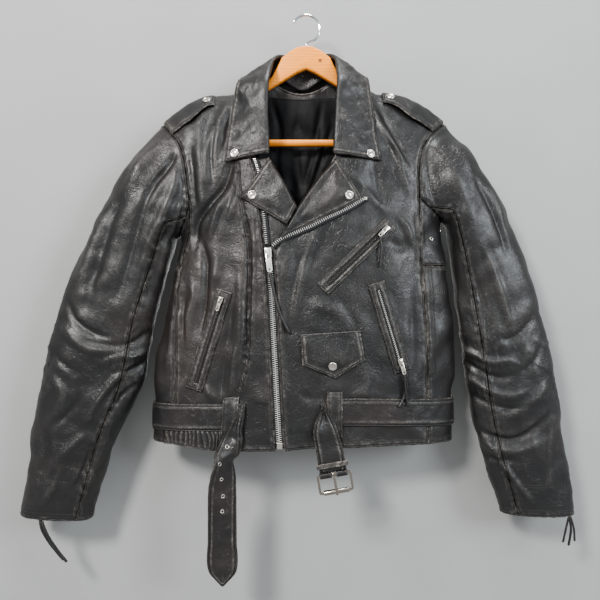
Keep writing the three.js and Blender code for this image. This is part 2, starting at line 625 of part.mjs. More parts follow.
const CHAIN_TOP = -398;
const CHAIN_FOOT = -694;
const ROW_TOP = -250; // the open row on the wearer's right
const ROW_FOOT = -376;
const rowLeftRows = [
  { x: 84, z: -319 }, { x: 68, z: -327 }, { x: 28, z: -347 }, { x: -10, z: -366 }, { x: -40, z: -382 },
];
function mainZip() {
  strip('zip_chain', (s) => {
    const z = THREE.MathUtils.lerp(CHAIN_TOP, CHAIN_FOOT, s);
    return { x: zipX(z), z };
  }, {
    width: CHAIN_WIDTH - SEAM, steps: 14, lift: -LEATHER, thickness: LEATHER, material: nickel(),
  });
  strip('zip_row_right', (s) => {
    const z = THREE.MathUtils.lerp(ROW_TOP, ROW_FOOT, s);
    return { x: zipX(z) + 0.4, z };
  }, {
    width: 6, steps: 6, lift: -LEATHER, thickness: LEATHER, material: nickel(),
  });
  const right = curve(rowLeftRows, 'x', 'z');
  strip('zip_row_left', (s) => {
    const x = THREE.MathUtils.lerp(rowLeftRows[0].x, rowLeftRows.at(-1).x, s);
    return { x, z: right(x) - 1.5 };
  }, { width: 6, steps: 8, lift: LAYER, thickness: LEATHER, material: nickel() });
}

// Each zip pocket: the ends of its welt and the welt's width.
const pockets = {
  chest: { from: { x: 133, z: -350 }, to: { x: 25, z: -453 }, welt: 25 },
  lower_left: { from: { x: 109, z: -443 }, to: { x: 151, z: -582 }, welt: 27 },
  lower_right: { from: { x: -129, z: -455 }, to: { x: -177, z: -611 }, welt: 27 },
};
const POCKET_CHAIN = 6.5;
const WELT = 1.6; // wall of a pocket welt
const shorten = ({ from, to }, ends) => {
  const share = ends / Math.hypot(to.x - from.x, to.z - from.z);
  return straight(straight(from, to)(share), straight(from, to)(1 - share));
};
function zipPockets() {
  Object.entries(pockets).forEach(([name, pocket]) => {
    strip(`welt_${name}`, straight(pocket.from, pocket.to), {
      width: pocket.welt, steps: 9, lift: LAYER, thickness: WELT, material: leather(),
    });
    strip(`pocket_zip_${name}`, shorten(pocket, 12), {
      width: POCKET_CHAIN, steps: 9, lift: LAYER + WELT + GAP, thickness: 1.2, material: nickel(),
    });
  });
  laid('pocket_flap', {
    a: { x: -9, z: -528 }, b: { x: 83, z: -522 }, c: { x: 90, z: -563 }, d: { x: -5, z: -571 },
    tip: { x: 45, z: -591 },
  }, { across: 6, down: 3, lift: LAYER, thickness: LEATHER });
}

// ---------- solids joined and cut ----------
function toManifold(geometry) {
  const bare = geometry.clone();
  Object.keys(bare.attributes).filter((key) => key !== 'position').forEach((key) => bare.deleteAttribute(key));
  const merged = mergeVertices(bare, 1e-4);
  const triVerts = new Uint32Array(merged.index.array);
  const vertProperties = merged.attributes.position.array;
  return new wasm.Manifold(new wasm.Mesh({ numProp: 3, vertProperties, triVerts }));
}
function fromManifold(manifold) {
  const mesh = manifold.getMesh();
  const geometry = new THREE.BufferGeometry();
  geometry.setAttribute('position', new THREE.BufferAttribute(mesh.vertProperties, 3));
  geometry.setIndex(new THREE.BufferAttribute(mesh.triVerts, 1));
  return geometry;
}
const join = (...parts) => fromManifold(parts.map(toManifold).reduce((a, b) => a.add(b)));
const cut = (whole, tool) => fromManifold(toManifold(whole).subtract(toManifold(tool)));

// A local frame: x across, y the way a pull hangs, z outwards.
function place(geometry, at, down, out) {
  const across = down.clone().cross(out).normalize();
  const matrix = new THREE.Matrix4().makeBasis(across, out.clone().cross(across).normalize(), out);
  return geometry.applyMatrix4(matrix.setPosition(at));
}
function block(width, length, height, x = 0, y = 0, z = 0) {
  return new THREE.BoxGeometry(width, length, height).translate(x, y, z);
}
// A profile drawn in the plane of y (along) and z (out), given a width across.
function sideProfile(rows, width) {
  const shape = new THREE.Shape(rows.map(([y, z]) => new THREE.Vector2(y, z)));
  const slab = new THREE.ExtrudeGeometry(shape, { depth: width, bevelEnabled: false });
  const turnUp = new THREE.Matrix4().makeBasis(vec(0, 1, 0), vec(0, 0, 1), vec(1, 0, 0));
  return slab.translate(0, 0, -width / 2).applyMatrix4(turnUp);
}
function tube(outerRadius, innerRadius, length, sides = 16) {
  const half = length / 2;
  const profile = [
    [innerRadius, -half], [outerRadius, -half], [outerRadius, half], [innerRadius, half],
    [innerRadius, -half],
  ].map(([r, h]) => new THREE.Vector2(r, h));
  return new THREE.LatheGeometry(profile, sides).rotateZ(Math.PI / 2);
}

// ---------- sliders and pull tabs ----------
// Sizes at scale 1. The tab's upper bar is held under the slider's bridge and turns there.
const SLIDER = { width: 8.4, length: 12, height: 3.2 };
const BRIDGE = { reach: 4.4, wall: 1.4, inside: 2.7, top: 3.9, width: 2.6, corner: 1.2 };
const TAB = { width: 7, bar: 1.6, axisDown: 1.35, axisOut: 1.2, window: 4.45, half: 2, wall: 1.2, hole: 1.5 };

function pull(name, { at, down, scale, tabLength }) {
  const { reach, wall: leg, inside, top, corner, width } = BRIDGE;
  const arch = sideProfile([
    [-reach, -0.6], [-reach, top - corner], [-reach + corner, top], [reach - corner, top],
    [reach, top - corner], [reach, -0.6], [reach - leg, -0.6], [reach - leg, inside],
    [-reach + leg, inside], [-reach + leg, -0.6],
  ], width);
  const body = block(SLIDER.width, SLIDER.length, SLIDER.height, 0, 0, -SLIDER.height / 2);
  const slider = join(body, arch).scale(scale, scale, scale);
  const half = TAB.width / 2;
  const head = TAB.axisDown - TAB.bar / 2;
  const foot = tabLength / scale;
  const outline = new THREE.Shape();
  outline.moveTo(-half + 1, head).lineTo(half - 1, head).lineTo(half, head + 1);
  outline.lineTo(half, foot - half).absarc(0, foot - half, half, 0, Math.PI, false);
  outline.lineTo(-half, head + 1).closePath();
  const windowTop = head + TAB.bar;
  const opening = new THREE.Path([
    [-TAB.half, windowTop], [-TAB.half, windowTop + TAB.window],
    [TAB.half, windowTop + TAB.window], [TAB.half, windowTop],
  ].map(([x, y]) => new THREE.Vector2(x, y)));
  const eye = new THREE.Path().absarc(0, foot - half, TAB.hole, 0, TURN, true);
  outline.holes.push(opening, eye);
  const tab = new THREE.ExtrudeGeometry(outline, { depth: TAB.wall, bevelEnabled: false, curveSegments: 8 });
  tab.translate(0, 0, TAB.axisOut - TAB.wall / 2).scale(scale, scale, scale);
  const lay = onFront(at.x, at.z, at.lift + SLIDER.height * scale);
  const direction = vec(down.x, 0, down.z).normalize();
  direction.addScaledVector(lay.n, -direction.dot(lay.n)).normalize();
  add(`slider_${name}`, place(slider, lay.p, direction, lay.n), nickel());
  add(`tab_${name}`, place(tab, lay.p, direction, lay.n), nickel());
}

// A free cord from a table of points, round in section.
function cord(name, points, radius) {
  const path = new THREE.CatmullRomCurve3(points);
  const shape = new THREE.Shape();
  shape.absarc(0, 0, radius, 0, TURN, false);
  const steps = Math.max(6, Math.round(path.getLength() / (3 * 2 * radius)));
  const geometry = new THREE.ExtrudeGeometry(shape, { steps, extrudePath: path, curveSegments: 4, bevelEnabled: false });
  add(name, geometry, leather());
}

// ---------- snaps ----------
const SNAP = { radius: 7.2, height: 2.6, rim: 1 };
function snap(name, { p, n }) {
  const { radius, height, rim } = SNAP;
  const profile = [[0, 0], [radius, 0], [radius, rim], [radius * 0.86, height * 0.8], [radius * 0.5, height], [0, height]];
  const dome = new THREE.LatheGeometry(profile.map(([r, h]) => new THREE.Vector2(r, h)), 14);
  dome.rotateX(Math.PI / 2);
  add(name, place(dome, p, vec(0, 0, -1).addScaledVector(n, n.z), n), nickel());
}

// ---------- epaulettes ----------
const EPAULETTE_LIFT = 1; // at its ends
const EPAULETTE_BULGE = 1.4; // how much further its middle stands off
const EPAULETTE_INNER = { right: -148, left: 124 };

function epaulettes() {
  Object.entries(EPAULETTE_INNER).forEach(([side, inner]) => {
    const { flip, armhole } = sidesOf[side];
    const line = seamLine(armhole);
    // How far out the strap runs at a drop below the shoulder: up to the armhole seam.
    const outerAt = (depth) => {
      const at = range(80).map(line).find(({ x, z }) => drop(x, z) >= depth);
      return at.x - flip * 1.5;
    };
    const grid = range(6).map((s) => {
      const width = THREE.MathUtils.lerp(13, 27, Math.min(s * 1.8, 1));
      const behind = THREE.MathUtils.lerp(2, 5, Math.min(s * 3, 1));
      const lift = EPAULETTE_LIFT + EPAULETTE_BULGE * Math.sin(Math.PI * s) + LEATHER;
      const point = (depth, front) => {
        const x = THREE.MathUtils.lerp(inner, outerAt(front ? depth : 0), s);
        const z = shoulder(x) - depth;
        return formAt(front ? turnAt(x, z) : rearOf(turnAt(x, z), flip), z, lift);
      };
      return [point(width, true), point(width * 0.5, true), point(width * 0.15, true),
        point(SHOULDER_DROP, true), point(behind * 0.3, false), point(behind, false)];
    });
    add(`epaulette_${side}`, wall(grid, LEATHER), leather());
    const x = inner + flip * 13;
    snap(`snap_epaulette_${side}`, onFront(x, shoulder(x) - 7, EPAULETTE_LIFT + LEATHER + 1.2));
  });
}

// ---------- belt ----------
const BELT_WALL = 2.6;
const BELT_WIDTH = 43;
const beltTopRows = [
  { x: -252, z: -635 }, { x: -106, z: -632 }, { x: 0, z: -628 }, { x: 57, z: -623 }, { x: 242, z: -628 },
];
const beltTop = curve(beltTopRows, 'x', 'z');
const LOOP_WALL = 2;
const BELT_LIFT = 1.1;
const LOOP_LIFT = BELT_LIFT + BELT_WALL + GAP;
const TAIL_LIFT = LOOP_LIFT + LOOP_WALL + GAP;
const BELT_ENDS = { right: -104, left: 32 };

function belt() {
  const mid = -650;
  const from = turnAt(BELT_ENDS.right, mid);
  const to = turnAt(BELT_ENDS.left, mid) - TURN;
  const grid = range(56).map((s) => range(2).map((v) => {
    const turn = THREE.MathUtils.lerp(from, to, s);
    const x = middle(mid) + halfWidth(mid) * Math.sin(turn);
    return formAt(turn, beltTop(x) - v * BELT_WIDTH, BELT_LIFT + BELT_WALL);
  }));
  add('belt', wall(grid, BELT_WALL), leather());
}

// A belt loop from its top seam over the belt to its foot.
function beltLoop(name, from, to) {
  const head = beltTop((from + to) / 2);
  const rows = [
    [15, LAYER], [10, LAYER], [4, LOOP_LIFT], [-BELT_WIDTH - 4, LOOP_LIFT], [-BELT_WIDTH - 10, LAYER],
    [-BELT_WIDTH - 15, LAYER],
  ];
  const grid = rows.map(([down, lift]) => range(2).map((s) => (
    onFront(THREE.MathUtils.lerp(from, to, s), head + down, lift + LOOP_WALL))));
  add(name, wall(grid, LOOP_WALL), leather());
}

// A ribbon of belt down a table: centre, half width and the turn of its face about the vertical.
function ribbon(rows) {
  return rows.map((row) => {
    const lies = row.lift === undefined ? null : onFront(row.x, row.z, row.lift + BELT_WALL);
    const centre = lies ? lies.p : vec(row.x, row.y, row.z);
    const yaw = THREE.MathUtils.degToRad(row.yaw ?? 0);
    const n = lies ? lies.n : vec(Math.sin(yaw), -Math.cos(yaw), 0);
    const lean = row.lean ?? 0;
    const across = vec(Math.cos(yaw), Math.sin(yaw), lean).normalize();
    if (lies) across.addScaledVector(n, -across.dot(n)).normalize();
    return [-1, 0, 1].map((k) => ({ p: centre.clone().addScaledVector(across, k * row.half), n }));
  });
}
const tailRows = [
  { x: -99, z: -630, half: 3, lift: BELT_LIFT + 1 }, { x: -99.5, z: -638, half: 4.2, lift: TAIL_LIFT },
  { x: -104, z: -649, half: 8.5, lift: TAIL_LIFT }, { x: -111, z: -668, half: 12.5, lift: TAIL_LIFT + 1 },
  { x: -116, z: -690, half: 17.5, lift: TAIL_LIFT + 3 },
  { x: -121, y: -75, z: -706, half: 21, yaw: 26 },
  { x: -125.5, y: -74, z: -722, half: 22, yaw: 54 }, { x: -128, y: -70, z: -742, half: 22, yaw: 38 },
  { x: -130, y: -66, z: -770, half: 22, yaw: 18 }, { x: -131, y: -63, z: -802, half: 22.2, yaw: 6 },
  { x: -131.4, y: -61, z: -846, half: 22.4, yaw: 0 }, { x: -131.4, y: -59, z: -897, half: 22.4, yaw: 0 },
  { x: -131, y: -58, z: -917, half: 2.5, yaw: 0 },
];

// The buckle hangs at the end of the belt: its frame turns about the bar in the folded end.
const BUCKLE = { at: vec(42, -74, -737), lean: 0.17, bar: 3.4, depth: 3.2, width: 54, height: 27 };
const LUG = { outer: 4.8, inner: 2.7, width: 42, slot: 7.5 };
const ROLLER = { outer: 3.9, length: 40 };
const TONGUE = { width: 5, wall: 2.2, reach: 31.5 };
const buckleDown = vec(BUCKLE.lean, 0, -Math.sqrt(1 - BUCKLE.lean ** 2));
const buckleOut = vec(0, -1, 0);
const atBuckle = (geometry) => place(geometry, BUCKLE.at, buckleDown, buckleOut);

function buckleEnd() {
  const end = BUCKLE.at.clone().addScaledVector(buckleDown, -LUG.inner - 0.6);
  const half = LUG.width / 2;
  const grid = ribbon([
    { x: 26.5, z: -629, half: 3, lift: BELT_LIFT + 1 }, { x: 26.5, z: -637, half: 4, lift: TAIL_LIFT },
    { x: 27.5, z: -647, half: 9, lift: TAIL_LIFT }, { x: 28, z: -659, half: 15, lift: TAIL_LIFT + 1 },
    { x: 29.5, z: -673, half: 19, lift: TAIL_LIFT + 2 }, { x: 33, z: -690, half: 20.5, lift: TAIL_LIFT + 3 },
    { x: 37, y: end.y - BELT_WALL / 2, z: -708, half, lean: BUCKLE.lean },
    { x: end.x, y: end.y - BELT_WALL / 2, z: end.z, half, lean: BUCKLE.lean },
  ]);
  const lug = atBuckle(tube(LUG.outer, LUG.inner, LUG.width));
  const slot = atBuckle(block(LUG.slot, 20, 16, 0, -1, 0));
  const bore = atBuckle(tube(LUG.inner, 0.01, LUG.width + 10));
  add('belt_buckle_end', cut(cut(join(wall(grid, BELT_WALL), lug), bore), slot), leather());
}

function buckle() {
  const { bar, width, height, depth } = BUCKLE;
  const rounded = (w, from, to, r) => {
    const path = new THREE.Shape();
    path.moveTo(-w + r, from).lineTo(w - r, from).absarc(w - r, from + r, r, -Math.PI / 2, 0, false);
    path.lineTo(w, to - r).absarc(w - r, to - r, r, 0, Math.PI / 2, false);
    path.lineTo(-w + r, to).absarc(-w + r, to - r, r, Math.PI / 2, Math.PI, false);
    path.lineTo(-w, from + r).absarc(-w + r, from + r, r, Math.PI, 1.5 * Math.PI, false);
    return path;
  };
  const frame = rounded(width / 2, -bar / 2, height + bar / 2, 4);
  frame.holes.push(rounded(width / 2 - bar, bar / 2, height - bar / 2, 1));
  const slab = new THREE.ExtrudeGeometry(frame, { depth, bevelEnabled: false, curveSegments: 5 });
  add('buckle_frame', atBuckle(slab.translate(0, 0, -depth / 2)), nickel());
  const roller = tube(ROLLER.outer, LUG.inner, ROLLER.length, 14).translate(0, height, 0);
  add('buckle_roller', atBuckle(roller), nickel());
  const ring = tube(LUG.outer - 0.2, LUG.inner, TONGUE.width);
  const rest = ROLLER.outer + GAP;
  const rod = sideProfile([
    [2.6, 2.4], [height, rest], [TONGUE.reach, rest - 0.4], [TONGUE.reach, rest + 1.4],
    [height - 3, rest + TONGUE.wall], [2.6, 2.4 + TONGUE.wall],
  ], TONGUE.width - 1);
  const pivotSpace = tube(LUG.inner, 0.01, TONGUE.width + 2);
  add('buckle_tongue', atBuckle(cut(join(ring, rod), pivotSpace)), nickel());
}

const KEEPER_WIDTH = 6;
function keeper() {
  const [half, thick, gap] = [LUG.width / 2 + 0.8, 1.8, 0.6];
  const outer = block((half + thick) * 2, KEEPER_WIDTH, BELT_WALL + 2 * (gap + thick));
  const inner = block(half * 2, KEEPER_WIDTH + 2, BELT_WALL + 2 * gap);
  const at = BUCKLE.at.clone().addScaledVector(buckleDown, -15);
  add('belt_keeper', place(cut(outer, inner), at, buckleDown, buckleOut), leather());
}

// ---------- hanger ----------
// Rows of the arm's outline on one side: top from the middle outwards, then back underneath.
const armTop = [
  [0, -50], [12, -51.5], [25, -58], [40, -69.5], [46, -82], [56, -100], [62, -107], [82, -120], [108, -137],
  [150, -147], [180, -159], [200, -174], [207, -184],
];
const armUnder = [
  [207, -200], [197, -220], [ARM_INNER, -222], [ARM_INNER, -196], [150, -180], [116, -159],
  [90, -142], [64, -125], [40, -111], [14, -95], [0, -89],
];
const HOOK_FOOT = -50; // where the wire stands on the wood

function hanger() {
  const right = [...armTop, ...armUnder];
  const left = [...right].reverse().slice(1, -1).map(([x, z]) => [-x, z]);
  const shape = new THREE.Shape([...right, ...left].map(([x, z]) => new THREE.Vector2(x, z)));
  const edge = 2.5;
  const wood = new THREE.ExtrudeGeometry(shape, {
    depth: WOOD_THICKNESS - 2 * edge, bevelEnabled: true, bevelThickness: edge, bevelSize: edge,
    bevelOffset: -edge, bevelSegments: 1,
  });
  wood.translate(0, 0, -WOOD_THICKNESS / 2 + edge).rotateX(Math.PI / 2).translate(0, -WOOD_FORWARD, 0);
  add('hanger_wood', wood, maple());
  const bar = new THREE.CylinderGeometry(BAR_RADIUS, BAR_RADIUS, 2 * (ARM_INNER - GAP), 16);
  add('hanger_bar', bar.rotateZ(Math.PI / 2).translate(0, 0, BAR_HEIGHT), maple());
  const centre = HOOK_WIRE - HOOK_RADIUS;
  const round = range(12).map((s) => {
    const angle = THREE.MathUtils.degToRad(THREE.MathUtils.lerp(152, -52, s));
    return vec(HOOK_RADIUS * Math.cos(angle), 0, centre + HOOK_RADIUS * Math.sin(angle));
  });
  const stem = [vec(4.5, 0, centre - HOOK_RADIUS + 0.8), vec(0.4, 0, -46.5), vec(0, 0, HOOK_FOOT + GAP)];
  const wire = new THREE.Shape();
  wire.absarc(0, 0, HOOK_WIRE, 0, TURN, false);
  const path = new THREE.CatmullRomCurve3([...round, ...stem]);
  add('hanger_hook', new THREE.ExtrudeGeometry(wire, {
    steps: 34, extrudePath: path, curveSegments: 5, bevelEnabled: false,
  }), chrome());
}

fronts();
back();
sides();
sleeve('right', sleeveRight);
sleeve('left', sleeveLeft);
collar();
lapels();
mainZip();
zipPockets();
epaulettes();
belt();
beltLoop('belt_loop_right', -130, -106);
beltLoop('belt_loop_left', 32, 56);
add('belt_tail', wall(ribbon(tailRows), BELT_WALL), leather());
buckleEnd();
buckle();
keeper();
hanger();

const MAIN_DOWN = { x: 0.11, z: -1 };
pull('main', { at: { x: -59.5, z: -396, lift: 0.2 }, down: MAIN_DOWN, scale: 1.25, tabLength: 31 });
pull('chest', { at: { x: 124, z: -358.5, lift: 4 }, down: { x: -0.72, z: -0.69 }, scale: 0.9, tabLength: 17 });
pull('lower_left', { at: { x: 146.5, z: -567, lift: 4 }, down: { x: 0.29, z: -0.96 }, scale: 0.9, tabLength: 20 });
pull('lower_right', { at: { x: -133.5, z: -470, lift: 4 }, down: { x: -0.29, z: -0.96 }, scale: 0.9, tabLength: 18 });

snap('snap_collar_right', onFront(-113, -238, 6.9));
snap('snap_collar_left', onFront(101, -240, 6.2));
snap('snap_lapel_right', onFront(-85, -305, LAYER + LEATHER + 0.5));
snap('snap_lapel_left', onFront(67, -306, LAYER + LEATHER + 0.5));
snap('snap_flap', onFront(41, -573, LAYER + LEATHER + 0.5));

// Free thongs below the tabs and at the cuffs; rows without y lie over the front.
const thong = (name, rows, radius) => cord(name, rows.map((row) => (
  row.y === undefined ? onFront(row.x, row.z, row.lift).p : vec(row.x, row.y, row.z))), radius);
thong('thong_main', [
  { x: -56.7, y: -64.6, z: -427.4 }, { x: -50, z: -458, lift: 5 }, { x: -42, z: -488, lift: 4.5 },
  { x: -33, z: -508, lift: 4.5 }, { x: -26.7, z: -520, lift: 4 },
], 2.4);
thong('thong_chest', [
  { x: 114.5, y: -61.4, z: -371.6 }, { x: 116.5, z: -386, lift: 7 }, { x: 116, z: -403, lift: 6 },
  { x: 115, z: -418, lift: 5 },
], 2);
thong('thong_lower_left', [
  { x: 153.2, y: -61, z: -587 }, { x: 156, z: -603, lift: 6.5 }, { x: 151, z: -622, lift: 6 },
  { x: 144, z: -636, lift: 7 },
], 2);
thong('cuff_thong_right', [
  { x: -430, y: -24, z: -826 }, { x: -428, y: -22, z: -840 }, { x: -423, y: -15, z: -858 },
  { x: -411, y: -9, z: -880 }, { x: -399, y: -5, z: -897 },
], 2.6);
thong('cuff_thong_left', [
  { x: 429, y: -17.5, z: -823 }, { x: 433, y: -13, z: -846 }, { x: 431, y: -9, z: -872 },
], 1.8);

export default jacket;
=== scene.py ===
"""Looks of a leather biker jacket that hangs on a wooden trouser hanger."""
import json
import math

import bmesh
import bpy
import numpy as np
from bpy.props import FloatProperty, FloatVectorProperty, PointerProperty
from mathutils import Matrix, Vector

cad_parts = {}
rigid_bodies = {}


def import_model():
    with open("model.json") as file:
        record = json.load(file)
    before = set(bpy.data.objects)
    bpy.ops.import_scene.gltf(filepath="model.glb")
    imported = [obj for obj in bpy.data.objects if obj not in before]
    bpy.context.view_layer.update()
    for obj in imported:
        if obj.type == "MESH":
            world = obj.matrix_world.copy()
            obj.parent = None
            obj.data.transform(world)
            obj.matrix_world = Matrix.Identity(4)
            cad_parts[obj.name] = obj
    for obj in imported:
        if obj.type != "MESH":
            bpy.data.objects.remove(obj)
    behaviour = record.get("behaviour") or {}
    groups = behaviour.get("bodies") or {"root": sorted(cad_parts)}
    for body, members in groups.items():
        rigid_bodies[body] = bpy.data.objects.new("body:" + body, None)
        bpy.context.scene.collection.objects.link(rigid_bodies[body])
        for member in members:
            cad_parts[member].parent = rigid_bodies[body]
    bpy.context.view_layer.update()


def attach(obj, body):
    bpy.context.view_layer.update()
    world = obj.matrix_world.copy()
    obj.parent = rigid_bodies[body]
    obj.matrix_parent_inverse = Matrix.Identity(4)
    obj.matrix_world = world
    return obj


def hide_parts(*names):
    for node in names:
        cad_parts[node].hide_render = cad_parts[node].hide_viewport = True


bl_info = {
    "name": "Leather Biker Jacket",
    "version": (1, 0, 0),
    "blender": (4, 5, 0),
    "location": "View3D > Sidebar > Jacket",
    "description": "Builds the finish of a leather biker jacket on its hanger",
    "category": "Add Mesh",
}

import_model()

MM = 0.001
TURN = 2 * math.pi
BODY = "jacket"
ALL_EDGES = ("left", "right", "top", "bottom")
STITCH = 2.9  # mm from an edge to its first row of stitches
HEM_ROW = 9.5  # mm from the hem to its second row
CUFF_ROW = 12.0
FAR = 99.0  # mm, where no seam is near

# The front is charted in 600 squares each way, as seen by an eye in front of the hanger.
EYE = 1035.0  # mm from the hanger's plane to the eye
CHART_SCALE = 0.0016  # side of a square for each mm from the eye
CHART_MIDDLE = 300.0
EYE_X = -9.9
EYE_Z = -469.6
FRONT_Y = -58.0  # depth at which the fronts are charted
SLEEVE_Y = -38.0
BACK_Y = 28.0


def chart(u, v, y=FRONT_Y):
    """The place in mm, across and up, of a chart square at a depth y."""
    side = CHART_SCALE * (EYE + y)
    return EYE_X + (np.asarray(u) - CHART_MIDDLE) * side, EYE_Z + (CHART_MIDDLE - np.asarray(v)) * side


# ---------- tables to curves ----------
def columns(names, rows):
    """A table of named columns, such as "x z", from its rows."""
    return {name: np.array(column, float) for name, column in zip(names.split(), zip(*rows))}


def smooth_rows(keys, values, at):
    """Hermite curve through rows of values at keys, for each share in at."""
    slope = np.empty_like(values)
    gap = (keys[2:] - keys[:-2]).reshape(-1, *[1] * (values.ndim - 1))
    slope[1:-1] = (values[2:] - values[:-2]) / gap
    slope[0] = (values[1] - values[0]) / (keys[1] - keys[0])
    slope[-1] = (values[-1] - values[-2]) / (keys[-1] - keys[-2])
    i = np.clip(np.searchsorted(keys, at, side="left") - 1, 0, len(keys) - 2)
    shape = (-1,) + (1,) * (values.ndim - 1)
    span = (keys[i + 1] - keys[i]).reshape(shape)
    t = ((at - keys[i]).reshape(shape)) / span
    t2, t3 = t * t, t * t * t
    return ((2 * t3 - 3 * t2 + 1) * values[i] + (t3 - 2 * t2 + t) * span * slope[i]
            + (3 * t2 - 2 * t3) * values[i + 1] + (t3 - t2) * span * slope[i + 1])


def curve(table, key, value):
    """A smooth curve of one column over another, level past its ends."""
    order = np.argsort(table[key])
    keys, values = table[key][order], table[value][order]

    def at(x):
        x = np.asarray(x, float)
        return smooth_rows(keys, values, np.clip(x, keys[0], keys[-1]).ravel()).reshape(x.shape)

    return at


def seam_line(rows):
    """A point (x, z) at a share of the way down a seam."""
    table = columns("x z", rows)
    steps = np.hypot(np.diff(table["x"]), np.diff(table["z"]))
    reach = {"s": np.concatenate([[0], np.cumsum(steps)]) / steps.sum(), "z": table["z"]}
    x_at, z_at = curve(table, "z", "x"), curve(reach, "s", "z")
    return lambda share: (x_at(z_at(share)), z_at(share))


def hem_line(rows):
    """A point (x, z) at a share of the way across a hem."""
    table = columns("x z", rows)
    z_at = curve(table, "x", "z")

    def at(share):
        x = table["x"][0] + (table["x"][-1] - table["x"][0]) * np.asarray(share)
        return x, z_at(x)

    return at


def route(points):
    """A smooth route through points in order, for shares 0 to 1 of its length."""
    points = np.array(points, float)
    shares = shares_along(points)
    tables = [curve({"s": shares, "v": points[:, k]}, "s", "v") for k in range(points.shape[1])]
    return lambda share: np.stack([at(share) for at in tables], axis=-1)


def reach_along(points):
    """The length of the way from the first point to each point."""
    return np.concatenate([[0], np.cumsum(np.linalg.norm(np.diff(points, axis=0), axis=1))])


def shares_along(points):
    reach = reach_along(points)
    return reach / reach[-1]


def mix(a, b, share):
    return a + (b - a) * share


def hump(distance, width, power=2):
    """1 at no distance, falling to nearly 0 at twice the width."""
    return np.exp(-((distance / width) ** power))


def squared(value, power):
    """A sine or cosine pushed toward a square section; a power of 1 keeps it round."""
    return np.sign(value) * np.abs(value) ** power


def smooth_step(low, high, value):
    t = np.clip((value - low) / (high - low), 0, 1)
    return t * t * (3 - 2 * t)


# ---------- the hung form ----------
SHOULDER = columns("x z", [
    (-262, -200), (-236, -181), (-209, -161), (-179, -144), (-151, -135), (-116, -130), (-90, -109),
    (-68, -91), (-40, -82), (0, -80), (34, -82), (62, -91), (82, -106), (109, -125), (150, -136),
    (177, -146), (205, -162), (228, -178), (250, -196),
])
SIDES = columns("z right left", [
    (-100, -262, 250), (-230, -252, 244), (-300, -228, 230), (-340, -211, 221), (-370, -206, 222),
    (-403, -212, 228), (-436, -219, 233), (-470, -226, 237), (-503, -233, 241), (-552, -245, 244),
    (-585, -248, 244), (-622, -248, 238), (-645, -249, 240), (-716, -251, 238),
])
FRONT_DEPTH = 62.0
BACK_DEPTH = 28.0
FRONT_RISE = 120.0
BACK_RISE = 60.0
ROUNDING = 2.6
TOP_GAP = 0.006  # keeps a top edge just under the shoulder line
shoulder = curve(SHOULDER, "x", "z")
right_side = curve(SIDES, "z", "right")
left_side = curve(SIDES, "z", "left")


def middle(z):
    return (right_side(z) + left_side(z)) / 2


def half_width(z):
    return (left_side(z) - right_side(z)) / 2


def form_place(turn, z):
    """Points of the hung body at a turn about it, 0 at the middle of the front, and a height."""
    front = np.cos(turn) >= 0
    x = middle(z) + half_width(z) * np.sin(turn)
    bow = (1 - np.abs(np.sin(turn)) ** ROUNDING) ** (1 / ROUNDING)
    drop = np.maximum(shoulder(x) - z, 0)
    rise = 1 - np.exp(-drop / np.where(front, FRONT_RISE, BACK_RISE))
    depth = np.where(front, FRONT_DEPTH, BACK_DEPTH) * np.sqrt(rise) * bow
    return np.stack([x, np.where(front, -depth, depth), np.broadcast_to(z, np.shape(x))], axis=-1)


def form(turn, z):
    """Points of the hung body and their outward normals."""
    turn, z = np.broadcast_arrays(np.asarray(turn, float), np.asarray(z, float))
    along = form_place(turn + 0.004, z) - form_place(turn - 0.004, z)
    up = form_place(turn, z + 0.8) - form_place(turn, z - 0.8)
    return form_place(turn, z), unit(np.cross(along, up))


def unit(vectors):
    return vectors / np.maximum(np.linalg.norm(vectors, axis=-1, keepdims=True), 1e-9)


def turn_at(x, z):
    """The turn at which the front of the body has that x."""
    return np.arcsin(np.clip((x - middle(z)) / half_width(z), -1, 1))


def back_turn(x, z):
    return -math.pi - turn_at(x, z)


# ---------- folds ----------
def waves(points, length, seed, count=16):
    """A soft random swell of about unit height, made of plane waves of about that length."""
    rng = np.random.default_rng(seed)
    heading = unit(rng.normal(size=(count, 3)))
    heading *= (TURN / (length * rng.uniform(0.7, 1.4, count)))[:, None]
    phase = rng.uniform(0, TURN, count)
    return np.cos(points @ heading.T + phase).sum(axis=-1) * math.sqrt(2 / count)


def creases(points, length, seed, sharp=0.35):
    """Thin crossing ridges, 0 to 1, where two swells change sign."""
    warp = np.stack([waves(points, 2 * length, seed + k, 8) for k in (1, 2, 3)], -1)
    warped = points + 0.3 * length * warp
    return np.clip(1 - np.abs(waves(warped, length, seed)) / sharp, 0, 1) ** 2


FOLD_DEPTH = 1.3  # how strongly the folds stand out


